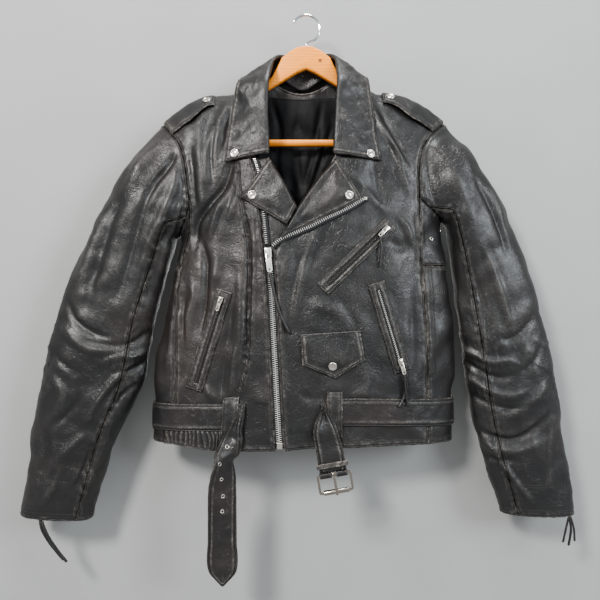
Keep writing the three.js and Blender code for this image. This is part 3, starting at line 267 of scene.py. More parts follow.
def fold_height(x, z, fold):
    """Height that one fold adds at (x, z). It tapers to its ends, and lean makes one side steeper."""
    spots, width, height, lean, depth = fold
    line = np.stack(chart(*np.array(spots, float).T, depth), axis=-1)
    smooth = route(line)(np.linspace(0, 1, 4 * len(line)))
    best = np.full(x.shape, 1e9)
    side, share = np.zeros(x.shape), np.zeros(x.shape)
    steps = len(smooth) - 1
    for i in range(steps):
        a, b = smooth[i], smooth[i + 1]
        d = b - a
        t = np.clip(((x - a[0]) * d[0] + (z - a[1]) * d[1]) / max(d @ d, 1e-6), 0, 1)
        gap_x, gap_z = x - a[0] - t * d[0], z - a[1] - t * d[1]
        gap = np.hypot(gap_x, gap_z)
        nearer = gap < best
        best = np.where(nearer, gap, best)
        side = np.where(nearer, np.sign(gap_x * d[1] - gap_z * d[0]) * gap, side)
        share = np.where(nearer, (i + t) / steps, share)
    across = side / width
    taper = np.sin(np.pi * np.clip(share, 0.02, 0.98)) ** 0.6
    return FOLD_DEPTH * height * taper * np.exp(-across ** 2) * (1 + lean * np.clip(across, -1.5, 1.5))


def folds(depth, rows):
    """Folds charted at one depth. A row holds spots, half width and height in mm, and perhaps a lean."""
    return [(spots, width, height, lean[0] if lean else 0.0, depth) for spots, width, height, *lean in rows]


FRONT_FOLDS = folds(FRONT_Y, [
    # wearer's right front, from shoulder to hem
    ([(236, 88), (218, 118), (210, 150), (206, 185)], 10, 4.0, 0.4),
    ([(228, 100), (226, 128), (222, 150)], 6, -3.2),
    ([(196, 118), (196, 150), (199, 190), (203, 215)], 8, 3.0, -0.3),
    ([(186, 140), (190, 175), (194, 205)], 5, -2.6),
    ([(214, 120), (209, 150), (210, 182)], 5, -3.4),
    ([(233, 158), (224, 185), (208, 205), (196, 222), (194, 245)], 7, -7.0, 0.5),
    ([(226, 192), (216, 215), (207, 240)], 7, 3.2),
    ([(240, 180), (233, 205), (226, 222)], 6, 2.4),
    ([(222, 205), (216, 225), (213, 238)], 4, -2.2),
    ([(198, 238), (204, 262), (203, 300), (199, 335)], 6, -5.5, -0.4),
    ([(190, 280), (193, 296), (188, 318), (186, 345)], 6, 4.6, 0.3),
    ([(183, 290), (181, 316), (183, 345)], 4, -3.0),
    ([(215, 250), (214, 275), (208, 290)], 8, 2.6),
    ([(244, 200), (249, 250), (249, 300), (246, 350), (238, 392)], 3.6, -4.2, 0.5),
    ([(240, 262), (241, 300), (240, 340), (236, 372)], 7, 2.6, 0.3),
    ([(231, 300), (229, 330), (224, 352)], 6, -2.4),
    ([(236, 345), (232, 372), (231, 395)], 4, 2.6),
    ([(226, 350), (222, 375), (220, 396)], 4, -2.2),
    ([(205, 385), (208, 392), (216, 400)], 5, 2.0),
    ([(170, 300), (168, 340), (164, 380)], 6, 2.2),
    ([(250, 195), (254, 240), (253, 300), (252, 360)], 3, 1.4),
    # wearer's left front
    ([(371, 94), (382, 118), (398, 146), (413, 170)], 5, 3.4, 0.4),
    ([(380, 96), (392, 126), (408, 158)], 4, -2.6),
    ([(389, 120), (399, 152), (411, 193)], 5, 2.6),
    ([(374, 150), (377, 180), (383, 206)], 8, -2.0),
    ([(352, 172), (372, 196), (388, 212)], 6, 1.8),
    ([(319, 230), (308, 258), (301, 284), (294, 324)], 6, 2.0, 0.4),
    ([(300, 250), (293, 285), (288, 330)], 8, -1.8),
    ([(388, 236), (400, 246), (412, 240)], 10, -3.2),
    ([(396, 214), (408, 226), (414, 245)], 5, 2.2),
    ([(340, 300), (352, 318), (360, 334)], 7, -1.8),
    ([(310, 300), (326, 308), (344, 312)], 9, 1.8),
    ([(282, 300), (281, 345), (284, 395)], 5, 1.8),
    ([(300, 390), (312, 402), (330, 398)], 8, -2.2),
    ([(370, 380), (362, 392), (352, 400)], 7, 1.6),
    ([(412, 290), (414, 330), (414, 372)], 6, -1.6),
    ([(420, 210), (421, 240), (422, 262)], 4, 2.4),
    ([(300, 402), (296, 420), (294, 440)], 5, 1.8),
    ([(310, 412), (318, 430), (318, 444)], 6, -1.6),
])
BACK_FOLDS = folds(BACK_Y, [
    ([(230, 150), (226, 200), (214, 260)], 12, 4.0, 0.3),
    ([(380, 140), (392, 200), (398, 270)], 12, 4.2, -0.3),
    ([(300, 130), (296, 210), (304, 300), (300, 380)], 16, -3.0),
    ([(250, 260), (244, 320), (248, 390)], 9, 3.2, 0.4),
    ([(340, 280), (352, 330), (350, 392)], 9, 3.0, -0.4),
    ([(190, 230), (214, 250), (240, 262)], 8, -3.0, 0.3),
    ([(412, 236), (392, 256), (362, 268)], 8, -3.2, -0.3),
    ([(206, 330), (230, 352), (262, 360)], 7, 2.4),
    ([(404, 330), (378, 356), (344, 362)], 7, 2.6),
    ([(280, 340), (272, 372), (274, 398)], 5, -2.4),
    ([(322, 344), (330, 376), (326, 398)], 5, -2.2),
])
RIGHT_SLEEVE_FOLDS = folds(SLEEVE_Y, [
    ([(168, 128), (152, 150), (134, 172), (116, 205)], 12, 5.5, 0.3),
    ([(179, 148), (168, 166), (156, 184), (146, 205)], 5, -6.5, 0.4),
    ([(181, 160), (176, 186), (164, 215), (150, 245), (138, 285)], 9, 5.0, 0.4),
    ([(133, 152), (122, 190), (106, 235), (92, 280), (84, 318)], 10, -4.2),
    ([(150, 182), (140, 222), (128, 262), (118, 300)], 6, -2.6),
    ([(184, 178), (184, 205), (176, 228)], 5, -3.6, 0.4),
    ([(186, 190), (178, 218), (168, 240)], 4, 3.0, 0.4),
    ([(162, 236), (154, 262), (146, 296)], 6, -2.8),
    ([(100, 215), (86, 252), (74, 292)], 9, 3.4),
    ([(66, 300), (74, 318), (92, 332), (112, 338)], 5, -4.2, 0.4),
    ([(58, 322), (76, 340), (96, 350), (118, 346)], 6, 4.0, 0.4),
    ([(148, 330), (132, 342), (112, 346), (96, 342)], 4.5, -4.0, -0.3),
    ([(150, 348), (134, 357), (114, 358), (100, 364)], 4, 3.2),
    ([(146, 362), (130, 371), (112, 373)], 4, -3.6, 0.3),
    ([(52, 352), (64, 366), (80, 374)], 5, -3.4),
    ([(130, 366), (114, 382), (98, 402), (84, 424)], 6, 4.2, 0.5),
    ([(136, 384), (120, 398), (106, 420)], 4, -3.2, 0.3),
    ([(48, 374), (60, 392), (58, 408), (44, 424)], 6, 3.4),
    ([(82, 392), (72, 408), (56, 424)], 4, -3.2),
    ([(84, 436), (70, 448), (54, 464)], 6, 3.4, 0.4),
    ([(108, 428), (98, 456), (86, 484), (76, 512)], 6, 3.4, 0.3),
    ([(94, 440), (84, 466), (72, 492)], 4.5, -3.2),
    ([(44, 430), (46, 452), (38, 480)], 5, -2.6),
    ([(62, 466), (52, 486), (40, 506)], 5, 2.6),
])
LEFT_SLEEVE_FOLDS = folds(SLEEVE_Y, [
    ([(430, 130), (448, 165), (464, 205), (478, 252)], 15, 4.0),
    ([(424, 150), (430, 185), (440, 225), (446, 262)], 6, -3.2, 0.3),
    ([(476, 178), (488, 200), (500, 228), (508, 252)], 5, -3.4, 0.4),
    ([(486, 172), (500, 204), (510, 240)], 6, 2.4),
    ([(482, 242), (494, 272), (504, 302), (514, 332)], 6, 3.0, 0.4),
    ([(470, 262), (482, 300), (492, 336)], 7, -2.4),
    ([(456, 270), (462, 305), (468, 340)], 5, 2.2),
    ([(536, 318), (524, 332), (508, 340), (496, 338)], 5, -3.0, 0.3),
    ([(462, 344), (476, 354), (494, 362), (512, 360)], 5, 4.2, 0.4),
    ([(464, 358), (480, 370), (500, 378), (516, 374)], 4, -4.0, 0.3),
    ([(468, 376), (486, 388), (508, 396), (526, 392)], 5, 3.8, 0.3),
    ([(544, 346), (534, 362), (520, 374)], 5, -2.6),
    ([(470, 394), (490, 404), (514, 410), (536, 404)], 4, -3.4),
    ([(552, 380), (538, 398), (520, 412), (500, 418)], 5, 3.0, 0.4),
    ([(474, 424), (492, 436), (514, 440), (534, 430), (552, 414)], 5, -4.6, 0.5),
    ([(478, 440), (496, 450), (518, 452), (540, 444)], 6, 3.6),
    ([(482, 456), (500, 462), (520, 462)], 4, -2.4),
    ([(493, 446), (508, 468), (522, 488), (536, 504)], 5, 3.2, 0.5),
    ([(560, 420), (552, 446), (552, 470)], 5, 2.4),
])
SLEEVE_FOLDS = {"right": RIGHT_SLEEVE_FOLDS, "left": LEFT_SLEEVE_FOLDS}
SLEEVE_BACK_FOLDS = folds(22.0, [
    ([(60, 330), (84, 344), (112, 350), (140, 344)], 7, 4.0, 0.3),
    ([(56, 356), (84, 372), (116, 376)], 6, -3.4, 0.3),
    ([(150, 180), (132, 222), (112, 268)], 11, 4.0),
    ([(92, 410), (78, 444), (66, 480)], 7, 3.0, 0.3),
    ([(540, 340), (516, 356), (488, 362), (466, 356)], 7, 4.0, 0.3),
    ([(546, 372), (520, 386), (490, 390)], 6, -3.6),
    ([(446, 180), (466, 226), (486, 276)], 12, 4.0),
    ([(500, 420), (520, 452), (532, 488)], 7, 3.0, 0.3),
])


def relief(points, normals, front_folds, back_folds, seed, swell=1.0):
    """How far folds, swells and creases lift the leather at each point."""
    x, z = points[..., 0], points[..., 2]
    facing = smooth_step(0.05, 0.5, -normals[..., 1])
    behind = smooth_step(0.05, 0.5, normals[..., 1])
    height = sum((fold_height(x, z, f) for f in front_folds), np.zeros(x.shape)) * facing
    height += sum((fold_height(x, z, f) for f in back_folds), np.zeros(x.shape)) * behind
    height += swell * (0.9 * waves(points, 85, seed) + 0.45 * waves(points, 38, seed + 9))
    patches = smooth_step(-0.2, 1.1, waves(points, 120, seed + 31))
    height += swell * 0.4 * creases(points, 58, seed + 20, 0.55) * patches
    return height


BODY_SEED = 11


def on_body(turn, z, lift=0.0):
    """Points on the creased body, lifted off it, with the smooth form's normals."""
    points, normals = form(turn, z)
    height = body_relief(points, normals) + lift
    return points + normals * height[..., None], normals


def on_front(x, z, lift=0.0):
    x, z = np.asarray(x, float), np.asarray(z, float)
    return on_body(turn_at(x, z), z, lift)


# ---------- grids of cloth ----------
class Cloth:
    """A grid of points, rows down and columns across, with normals and distances to its edges."""

    def __init__(self, points, out):
        self.p = points
        raw = np.cross(np.gradient(points, axis=0), np.gradient(points, axis=1))
        self.sign = 1.0 if float((raw * out).sum()) >= 0 else -1.0
        self.n = unit(raw) * self.sign
        across = np.linalg.norm(np.diff(points, axis=1), axis=-1)
        down = np.linalg.norm(np.diff(points, axis=0), axis=-1)
        zero_col, zero_row = np.zeros((len(points), 1)), np.zeros((1, points.shape[1]))
        left = np.concatenate([zero_col, np.cumsum(across, axis=1)], axis=1)
        top = np.concatenate([zero_row, np.cumsum(down, axis=0)], axis=0)
        self.edges = {"left": left, "right": left[:, -1:] - left, "top": top, "bottom": top[-1:] - top}

    def nearest(self, names):
        if not names:
            return np.full(self.p.shape[:2], FAR)
        return np.min([self.edges[name] for name in names], axis=0)

    def inset_line(self, edge, inset, start=0.0, stop=1.0):
        """Points and normals of the line that runs inset from an edge."""
        upright = edge in ("left", "right")
        far = self.edges[edge] if upright else self.edges[edge].T
        p = self.p if upright else self.p.transpose(1, 0, 2)
        n = self.n if upright else self.n.transpose(1, 0, 2)
        spots, ups = [], []
        first, last = int(start * len(far)), max(int(stop * len(far)), 2)
        for distance, row, normal in list(zip(far, p, n))[first:last]:
            if distance.max() < inset:
                continue
            order = np.argsort(distance)
            spots.append([np.interp(inset, distance[order], row[order, k]) for k in range(3)])
            ups.append([np.interp(inset, distance[order], normal[order, k]) for k in range(3)])
        return np.array(spots), unit(np.array(ups))

    def rows(self, edges, *insets):
        """Inset lines along each edge of a list such as "left top"."""
        return [self.inset_line(edge, inset) for edge in edges.split() for inset in insets]


def patch(top, bottom, first, last, rows, cols):
    """Turn and height over a patch between four edges, each a function of 0..1 giving (turn, z)."""
    u, v = np.linspace(0, 1, cols)[None, :], np.linspace(0, 1, rows)[:, None]
    t, b = np.array(top(u[0])), np.array(bottom(u[0]))
    f, l = np.array(first(v[:, 0])), np.array(last(v[:, 0]))
    corner = [np.array(edge(np.array([end])))[:, 0] for edge in (top, bottom) for end in (0.0, 1.0)]
    out = []
    for k in range(2):
        out.append(
            (1 - v) * t[k][None] + v * b[k][None] + (1 - u) * f[k][:, None] + u * l[k][:, None]
            - (1 - u) * (1 - v) * corner[0][k] - u * (1 - v) * corner[1][k]
            - (1 - u) * v * corner[2][k] - u * v * corner[3][k]
        )
    return out


def turned(line):
    """The edge, as turn and height, of a line that gives (x, z)."""
    def at(share):
        x, z = line(np.asarray(share))
        return turn_at(x, z), z

    return at


# ---------- meshes ----------
RIM_BULGE = 0.35  # how far a rim swells, in walls


def new_object(name, verts, faces, material, attributes=None, smooth=True):
    mesh = bpy.data.meshes.new(name)
    mesh.from_pydata([tuple(v) for v in np.asarray(verts) * MM], [], [tuple(map(int, f)) for f in faces])
    mesh.polygons.foreach_set("use_smooth", [smooth] * len(mesh.polygons))
    for key, values in (attributes or {}).items():
        layer = mesh.attributes.new(key, "FLOAT", "POINT")
        layer.data.foreach_set("value", np.asarray(values, np.float32).ravel())
    mesh.materials.append(MATERIALS[material])
    mesh.update()
    piece = bpy.data.objects.new(name, mesh)
    bpy.context.scene.collection.objects.link(piece)
    return piece


def faces_of_grid(rows, cols, base=0):
    i, j = np.meshgrid(np.arange(rows - 1), np.arange(cols - 1), indexing="ij")
    a = (base + i * cols + j).ravel()
    return np.stack([a, a + cols, a + cols + 1, a + 1], axis=1)


def tube_faces(rings, sides):
    """Faces of a closed tube of rings, with a cap at each end."""
    faces = []
    for start in range(0, (rings - 1) * sides, sides):
        for k in range(sides):
            q = (k + 1) % sides
            faces.append((start + k, start + q, start + sides + q, start + sides + k))
    return faces + [tuple(range(sides)), tuple(range((rings - 1) * sides, rings * sides))]


def shell(name, cloth, wall, material, attributes=None):
    """A closed wall behind a grid, with a rounded rim."""
    rows, cols = cloth.p.shape[:2]
    outer = cloth.p.reshape(-1, 3)
    inner = (cloth.p - cloth.n * wall).reshape(-1, 3)
    index = np.arange(rows * cols).reshape(rows, cols)
    loop = np.concatenate([index[0, :-1], index[:-1, -1], index[-1, :0:-1], index[:0:-1, 0]])
    inward = np.zeros((rows, cols, 3))
    inward[0] += unit(cloth.p[1] - cloth.p[0])
    inward[-1] += unit(cloth.p[-2] - cloth.p[-1])
    inward[:, 0] += unit(cloth.p[:, 1] - cloth.p[:, 0])
    inward[:, -1] += unit(cloth.p[:, -2] - cloth.p[:, -1])
    inward = inward.reshape(-1, 3)[loop]
    mid = (outer[loop] + inner[loop]) / 2 - inward * wall * RIM_BULGE
    size = rows * cols
    front = faces_of_grid(rows, cols)
    behind = faces_of_grid(rows, cols, size)[:, ::-1]
    nxt = np.roll(loop, -1)
    edge = 2 * size + np.arange(len(loop))
    edge_next = np.roll(edge, -1)
    bend = np.concatenate([
        np.stack([loop, nxt, edge_next, edge], axis=1),
        np.stack([edge, edge_next, size + nxt, size + loop], axis=1),
    ])
    faces = np.concatenate([front, behind, bend])
    if cloth.sign < 0:
        faces = faces[:, ::-1]
    values = {}
    for key, grid in (attributes or {}).items():
        flat = np.asarray(grid, float).ravel()
        values[key] = np.concatenate([flat, flat, flat[loop]])
    return new_object(name, np.concatenate([outer, inner, mid]), faces, material, values)


def blurred(grid, passes):
    for _ in range(passes):
        padded = np.pad(grid, 1, mode="edge")
        grid = (padded[:-2, 1:-1] + padded[2:, 1:-1] + padded[1:-1, :-2] + padded[1:-1, 2:]) / 4
    return grid


def leather_marks(cloth, height, seams, edge_wear=1.0, seam_rub=0.5):
    """Wear on crests and edges, and the distance to the nearest stitched seam."""
    crest = np.clip((height - blurred(height, 14)) / 0.9, 0, 1)
    seam = cloth.nearest(seams)
    rub = hump(seam, 2.0) * edge_wear + hump(seam - 5.8, 1.3) * 0.5 * seam_rub
    return {"wear": np.clip(0.13 * crest + rub, 0, 1), "seam": seam}


def count(length, pitch):
    """How many steps of about that pitch a length takes."""
    return max(2, int(round(length / pitch)))


def stitches(name, lines, lift=0.12, pitch=None):
    """A row of short threads along each (points, normals) line."""
    pitch = pitch or sizes().stitch_pitch
    length, radius = sizes().stitch_length, sizes().thread
    ring = [(-1, 0.0), (0, 0.9), (1, 0.0), (0, -0.6)]
    shape = [(-0.5, 0.35, -0.35), (-0.28, 1.0, 0.15), (0.28, 1.0, 0.15), (0.5, 0.35, -0.35)]
    verts, faces = [], []
    for points, normals in lines:
        if len(points) < 2:
            continue
        reach = reach_along(points)
        total = count(reach[-1], pitch)
        at = (np.arange(total) + 0.5) / total * reach[-1]
        place = [np.stack([np.interp(at + d, reach, points[:, k]) for k in range(3)], -1)
                 for d in (-1, 0, 1)]
        up = unit(np.stack([np.interp(at, reach, normals[:, k]) for k in range(3)], -1))
        along = unit(place[2] - place[0])
        side = unit(np.cross(along, up))
        for p, a, s, n in zip(place[1], along, side, up):
            base = len(verts)
            for t, thick, sink in shape:
                centre = p + a * (t * length) + n * (lift + sink * radius)
                verts.extend(centre + (s * x + n * y) * radius * thick for x, y in ring)
            faces.extend(tuple(base + i for i in face) for face in tube_faces(4, 4))
    piece = new_object(name, np.array(verts), faces, "thread")
    outward(piece)
    return finish_piece(piece)


def outward(piece):
    """Turns the faces of a piece outward."""
    work = bmesh.new()
    work.from_mesh(piece.data)
    bmesh.ops.recalc_face_normals(work, faces=work.faces)
    work.to_mesh(piece.data)
    work.free()


def finish_piece(piece, body=BODY, replaces=()):
    """Gives a piece its body and the solids that it replaces."""
    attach(piece, body)
    if replaces:
        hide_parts(*replaces)
    return piece


# ---------- settings ----------
class JacketSizes(bpy.types.PropertyGroup):
    """Sizes of the jacket's finish."""

    leather: FloatProperty(name="Leather", description="Wall of a leather piece in mm", default=2.0,
                           min=1.0, max=3.0)
    satin: FloatProperty(name="Satin", description="Wall of the lining in mm", default=1.2, min=1.0,
                         max=3.0)
    belt: FloatProperty(name="Belt", description="Wall of the belt in mm", default=2.6, min=1.0, max=3.0)
    mesh_pitch: FloatProperty(name="Mesh pitch", description="Spacing of cloth points in mm", default=2.7,
                              min=1.5, max=12)
    stitch_pitch: FloatProperty(name="Stitch pitch", description="From stitch to stitch in mm", default=4.0,
                                min=2, max=8)
    stitch_length: FloatProperty(name="Stitch length", description="Length of a stitch in mm", default=3.1,
                                 min=1, max=7)
    thread: FloatProperty(name="Thread", description="Radius of the thread in mm", default=0.42, min=0.2,
                          max=1)
    tooth_pitch: FloatProperty(name="Tooth pitch", description="From zip tooth to tooth in mm", default=3.3,
                               min=2, max=6)


class JacketColours(bpy.types.PropertyGroup):
    """Colours of the jacket's finish."""

    leather: FloatVectorProperty(name="Leather", description="Leather", subtype="COLOR",
                                 default=(0.0152, 0.0148, 0.0148))
    brown: FloatVectorProperty(name="Brown cast", description="Faded parts of the leather", subtype="COLOR",
                               default=(0.040, 0.0315, 0.0275))
    worn: FloatVectorProperty(name="Worn leather", description="Rubbed edges and crests", subtype="COLOR",
                              default=(0.27, 0.245, 0.22))
    satin: FloatVectorProperty(name="Satin", description="Lining", subtype="COLOR",
                               default=(0.006, 0.006, 0.007))
    thread: FloatVectorProperty(name="Thread", description="Stitching", subtype="COLOR",
                                default=(0.075, 0.071, 0.065))
    # The zip tape's colour also paints the shade inside the eyelet rings.
    tape: FloatVectorProperty(name="Zip tape", description="Woven tape of the zips", subtype="COLOR",
                              default=(0.012, 0.012, 0.013))
    nickel: FloatVectorProperty(name="Nickel", description="Snaps, zips and buckle", subtype="COLOR",
                                default=(0.64, 0.60, 0.54))
    chrome: FloatVectorProperty(name="Chrome", description="Hook", subtype="COLOR",
                                default=(0.78, 0.79, 0.8))
    maple: FloatVectorProperty(name="Maple", description="Hanger", subtype="COLOR",
                               default=(0.97, 0.355, 0.05))
    maple_grain: FloatVectorProperty(name="Maple grain", description="Grain of the hanger", subtype="COLOR",
                                     default=(0.55, 0.19, 0.04))
    wall: FloatVectorProperty(name="Wall", description="Wall behind the jacket", subtype="COLOR",
                              default=(0.372, 0.376, 0.367))


class JacketStage(bpy.types.PropertyGroup):
    """Camera and lights."""

    lens: FloatProperty(name="Lens", description="Focal length in mm", default=37.5, min=10, max=200)
    key: FloatProperty(name="Key light", description="Power of the light above the front in W", default=56,
                       min=0)
    fill: FloatProperty(name="Fill light", description="Power of the cool light at the right in W",
                        default=34, min=0)
    back: FloatProperty(name="Back light", description="Power of the lights behind the wall in W",
                        default=24, min=0)
    sky: FloatProperty(name="Surroundings", description="Strength of the light all round", default=0.5,
                       min=0)


def sizes():
    return bpy.context.scene.jacket_sizes


def tint(name):
    """One of the jacket's colours."""
    return tuple(getattr(bpy.context.scene.jacket_colours, name))


# ---------- materials ----------
MATERIALS = {}


class Graph:
    """Makes nodes of a node tree; an input given as a socket is linked and anything else is set."""

    def __init__(self, tree):
        self.tree = tree
        self.tree.nodes.clear()

    def add(self, kind, inputs=None, **settings):
        """A node; its settings are set before its inputs."""
        node = self.tree.nodes.new(kind)
        for key, value in settings.items():
            setattr(node, key, value)
        for key, value in (inputs or {}).items():
            if isinstance(value, bpy.types.NodeSocket):
                self.tree.links.new(value, node.inputs[key])
            elif isinstance(value, (tuple, list)) and len(value) == 3 and node.inputs[key].type == "RGBA":
                node.inputs[key].default_value = (*value, 1)
            else:
                node.inputs[key].default_value = value
        return node

    def math(self, operation, a, b=0.0, clamp=False):
        return self.add("ShaderNodeMath", {0: a, 1: b}, operation=operation, use_clamp=clamp).outputs[0]

    def ramp(self, value, low, high, to_low=0.0, to_high=1.0):
        inputs = {"Value": value, "From Min": low, "From Max": high, "To Min": to_low, "To Max": to_high}
        return self.add("ShaderNodeMapRange", inputs, interpolation_type="SMOOTHSTEP").outputs[0]

    def place(self):
        return self.add("ShaderNodeTexCoord").outputs["Object"]

    def noise(self, vector, scale, detail=3.0, roughness=0.55):
        inputs = {"Vector": vector, "Scale": scale, "Detail": detail, "Roughness": roughness}
        return self.add("ShaderNodeTexNoise", inputs).outputs["Fac"]

    def times(self, a, b, clamp=False):
        return self.math("MULTIPLY", a, b, clamp)

    def cells(self, vector, scale, feature):
        inputs = {"Vector": vector, "Scale": scale}
        return self.add("ShaderNodeTexVoronoi", inputs, feature=feature).outputs["Distance"]

    def blend(self, factor, a, b):
        return self.add("ShaderNodeMix", {"Factor": factor, 6: a, 7: b}, data_type="RGBA").outputs[2]

    def bump(self, height, distance, strength=1.0, normal=None):
        inputs = {"Height": height, "Distance": distance, "Strength": strength}
        if normal is not None:
            inputs["Normal"] = normal
        return self.add("ShaderNodeBump", inputs).outputs[0]


def group(name, inputs, outputs):
    tree = bpy.data.node_groups.new(name, "ShaderNodeTree")
    for direction, sockets in (("INPUT", inputs), ("OUTPUT", outputs)):
        for label, kind in sockets:
            tree.interface.new_socket(label, in_out=direction, socket_type=kind)
    graph = Graph(tree)
    return graph, graph.add("NodeGroupInput"), graph.add("NodeGroupOutput")


COLOUR, VALUE, VECTOR = "NodeSocketColor", "NodeSocketFloat", "NodeSocketVector"


def leather_group():
    """Grain, wrinkles, rubbed crests and stitch channels of leather."""
    graph, start, end = group(
        "worn leather",
        [("Leather", COLOUR), ("Faded", COLOUR), ("Worn", COLOUR), ("Fading", VALUE), ("Rubbing", VALUE),
         ("Wrinkles", VALUE), ("Wear", VALUE), ("Seam", VALUE)],
        [("Color", COLOUR), ("Roughness", VALUE), ("Normal", VECTOR)],
    )
    given = start.outputs
    place = graph.place()
    warp = graph.add("ShaderNodeTexNoise", {"Vector": place, "Scale": 24.0, "Detail": 3.0}).outputs["Color"]
    bend = graph.add("ShaderNodeVectorMath", {0: warp, 1: (0.05, 0.05, 0.05)}, operation="MULTIPLY")
    bent = graph.add("ShaderNodeVectorMath", {0: place, 1: bend.outputs[0]}, operation="ADD").outputs[0]
    wide = graph.noise(place, 7.0, 4.0, 0.6)
    mottle = graph.noise(place, 34.0, 5.0, 0.62)
    fine = graph.noise(place, 420.0, 3.0, 0.6)
    grain = graph.cells(bent, 640.0, "F1")
    crack = graph.ramp(graph.cells(bent, 66.0, "DISTANCE_TO_EDGE"), 0.0, 0.07)
    crack_small = graph.ramp(graph.cells(bent, 185.0, "DISTANCE_TO_EDGE"), 0.0, 0.12)
    patches = graph.ramp(graph.noise(place, 12.0, 3.0), 0.42, 0.62)
    patches_small = graph.ramp(graph.noise(place, 19.0, 3.0), 0.4, 0.6)

    # rubbed crests show in broken flecks
    flecks = graph.ramp(graph.noise(bent, 260.0, 4.0, 0.7), 0.44, 0.64)
    rub = graph.times(given["Wear"], given["Rubbing"])
    rub = graph.times(rub, graph.ramp(mottle, 0.36, 0.66, 0.25, 1.0))
    rub = graph.times(rub, graph.math("ADD", 0.25, graph.times(flecks, 0.9)), clamp=True)
    lines = graph.math("SUBTRACT", 1.0, crack_small)
    scuff = graph.times(graph.times(lines, patches_small), graph.ramp(wide, 0.5, 0.7))
    scuff = graph.times(graph.times(scuff, flecks), given["Rubbing"])
    scuff = graph.times(scuff, 0.1)
    fade = graph.times(graph.ramp(wide, 0.36, 0.68), given["Fading"])
    base = graph.blend(fade, given["Leather"], given["Faded"])
    base = graph.blend(graph.ramp(mottle, 0.3, 0.7, 0.0, 0.45), base, (0.004, 0.004, 0.0045))
    total = graph.math("ADD", rub, scuff, clamp=True)
    colour = graph.blend(total, base, given["Worn"])
    roughness = graph.ramp(mottle, 0.3, 0.7, 0.33, 0.47)
    roughness = graph.math("ADD", roughness, graph.times(total, 0.22), clamp=True)

    # stitched edges: a rolled lip, then a channel that holds the thread
    seam = given["Seam"]
    lip = graph.ramp(seam, 0.0, 1.6)
    off = graph.math("ABSOLUTE", graph.math("SUBTRACT", seam, STITCH))
    channel = graph.ramp(off, 0.2, 1.3)
    edge = graph.math("ADD", lip, channel)
    normal = graph.bump(edge, 0.0009, 0.8)
    normal = graph.bump(graph.times(crack, patches), 0.0011, given["Wrinkles"], normal)
    normal = graph.bump(graph.noise(bent, 120.0, 4.0, 0.6), 0.0012, 0.36, normal)
    normal = graph.bump(graph.times(crack_small, patches_small), 0.0005, 0.28, normal)
    normal = graph.bump(grain, 0.00032, 0.5, normal)
    normal = graph.bump(fine, 0.0003, 0.35, normal)
    graph.tree.links.new(colour, end.inputs["Color"])
    graph.tree.links.new(roughness, end.inputs["Roughness"])
    graph.tree.links.new(normal, end.inputs["Normal"])
    return graph.tree


def surface(name, build):
    """A material whose principled shader has the inputs that build gives."""
    material = bpy.data.materials.new(name)
    material.use_nodes = True
    graph = Graph(material.node_tree)
    shader = graph.add("ShaderNodeBsdfPrincipled", build(graph))
    graph.add("ShaderNodeOutputMaterial", {"Surface": shader.outputs[0]})
    MATERIALS[name] = material


def make_leather(name, tree, fading, rubbing, wrinkles, coat=0.04):
    def build(graph):
        wear = graph.add("ShaderNodeAttribute", attribute_name="wear").outputs["Fac"]
        seam = graph.add("ShaderNodeAttribute", attribute_name="seam").outputs["Fac"]
        look = graph.add("ShaderNodeGroup", {
            "Leather": tint("leather"), "Faded": tint("brown"), "Worn": tint("worn"), "Fading": fading,
            "Rubbing": rubbing, "Wrinkles": wrinkles, "Wear": wear, "Seam": seam,
        }, node_tree=tree).outputs
        return {"Base Color": look["Color"], "Roughness": look["Roughness"], "Normal": look["Normal"],
                "Coat Weight": coat, "Coat Roughness": 0.28, "IOR": 1.5, "Specular IOR Level": 0.5}

    surface(name, build)


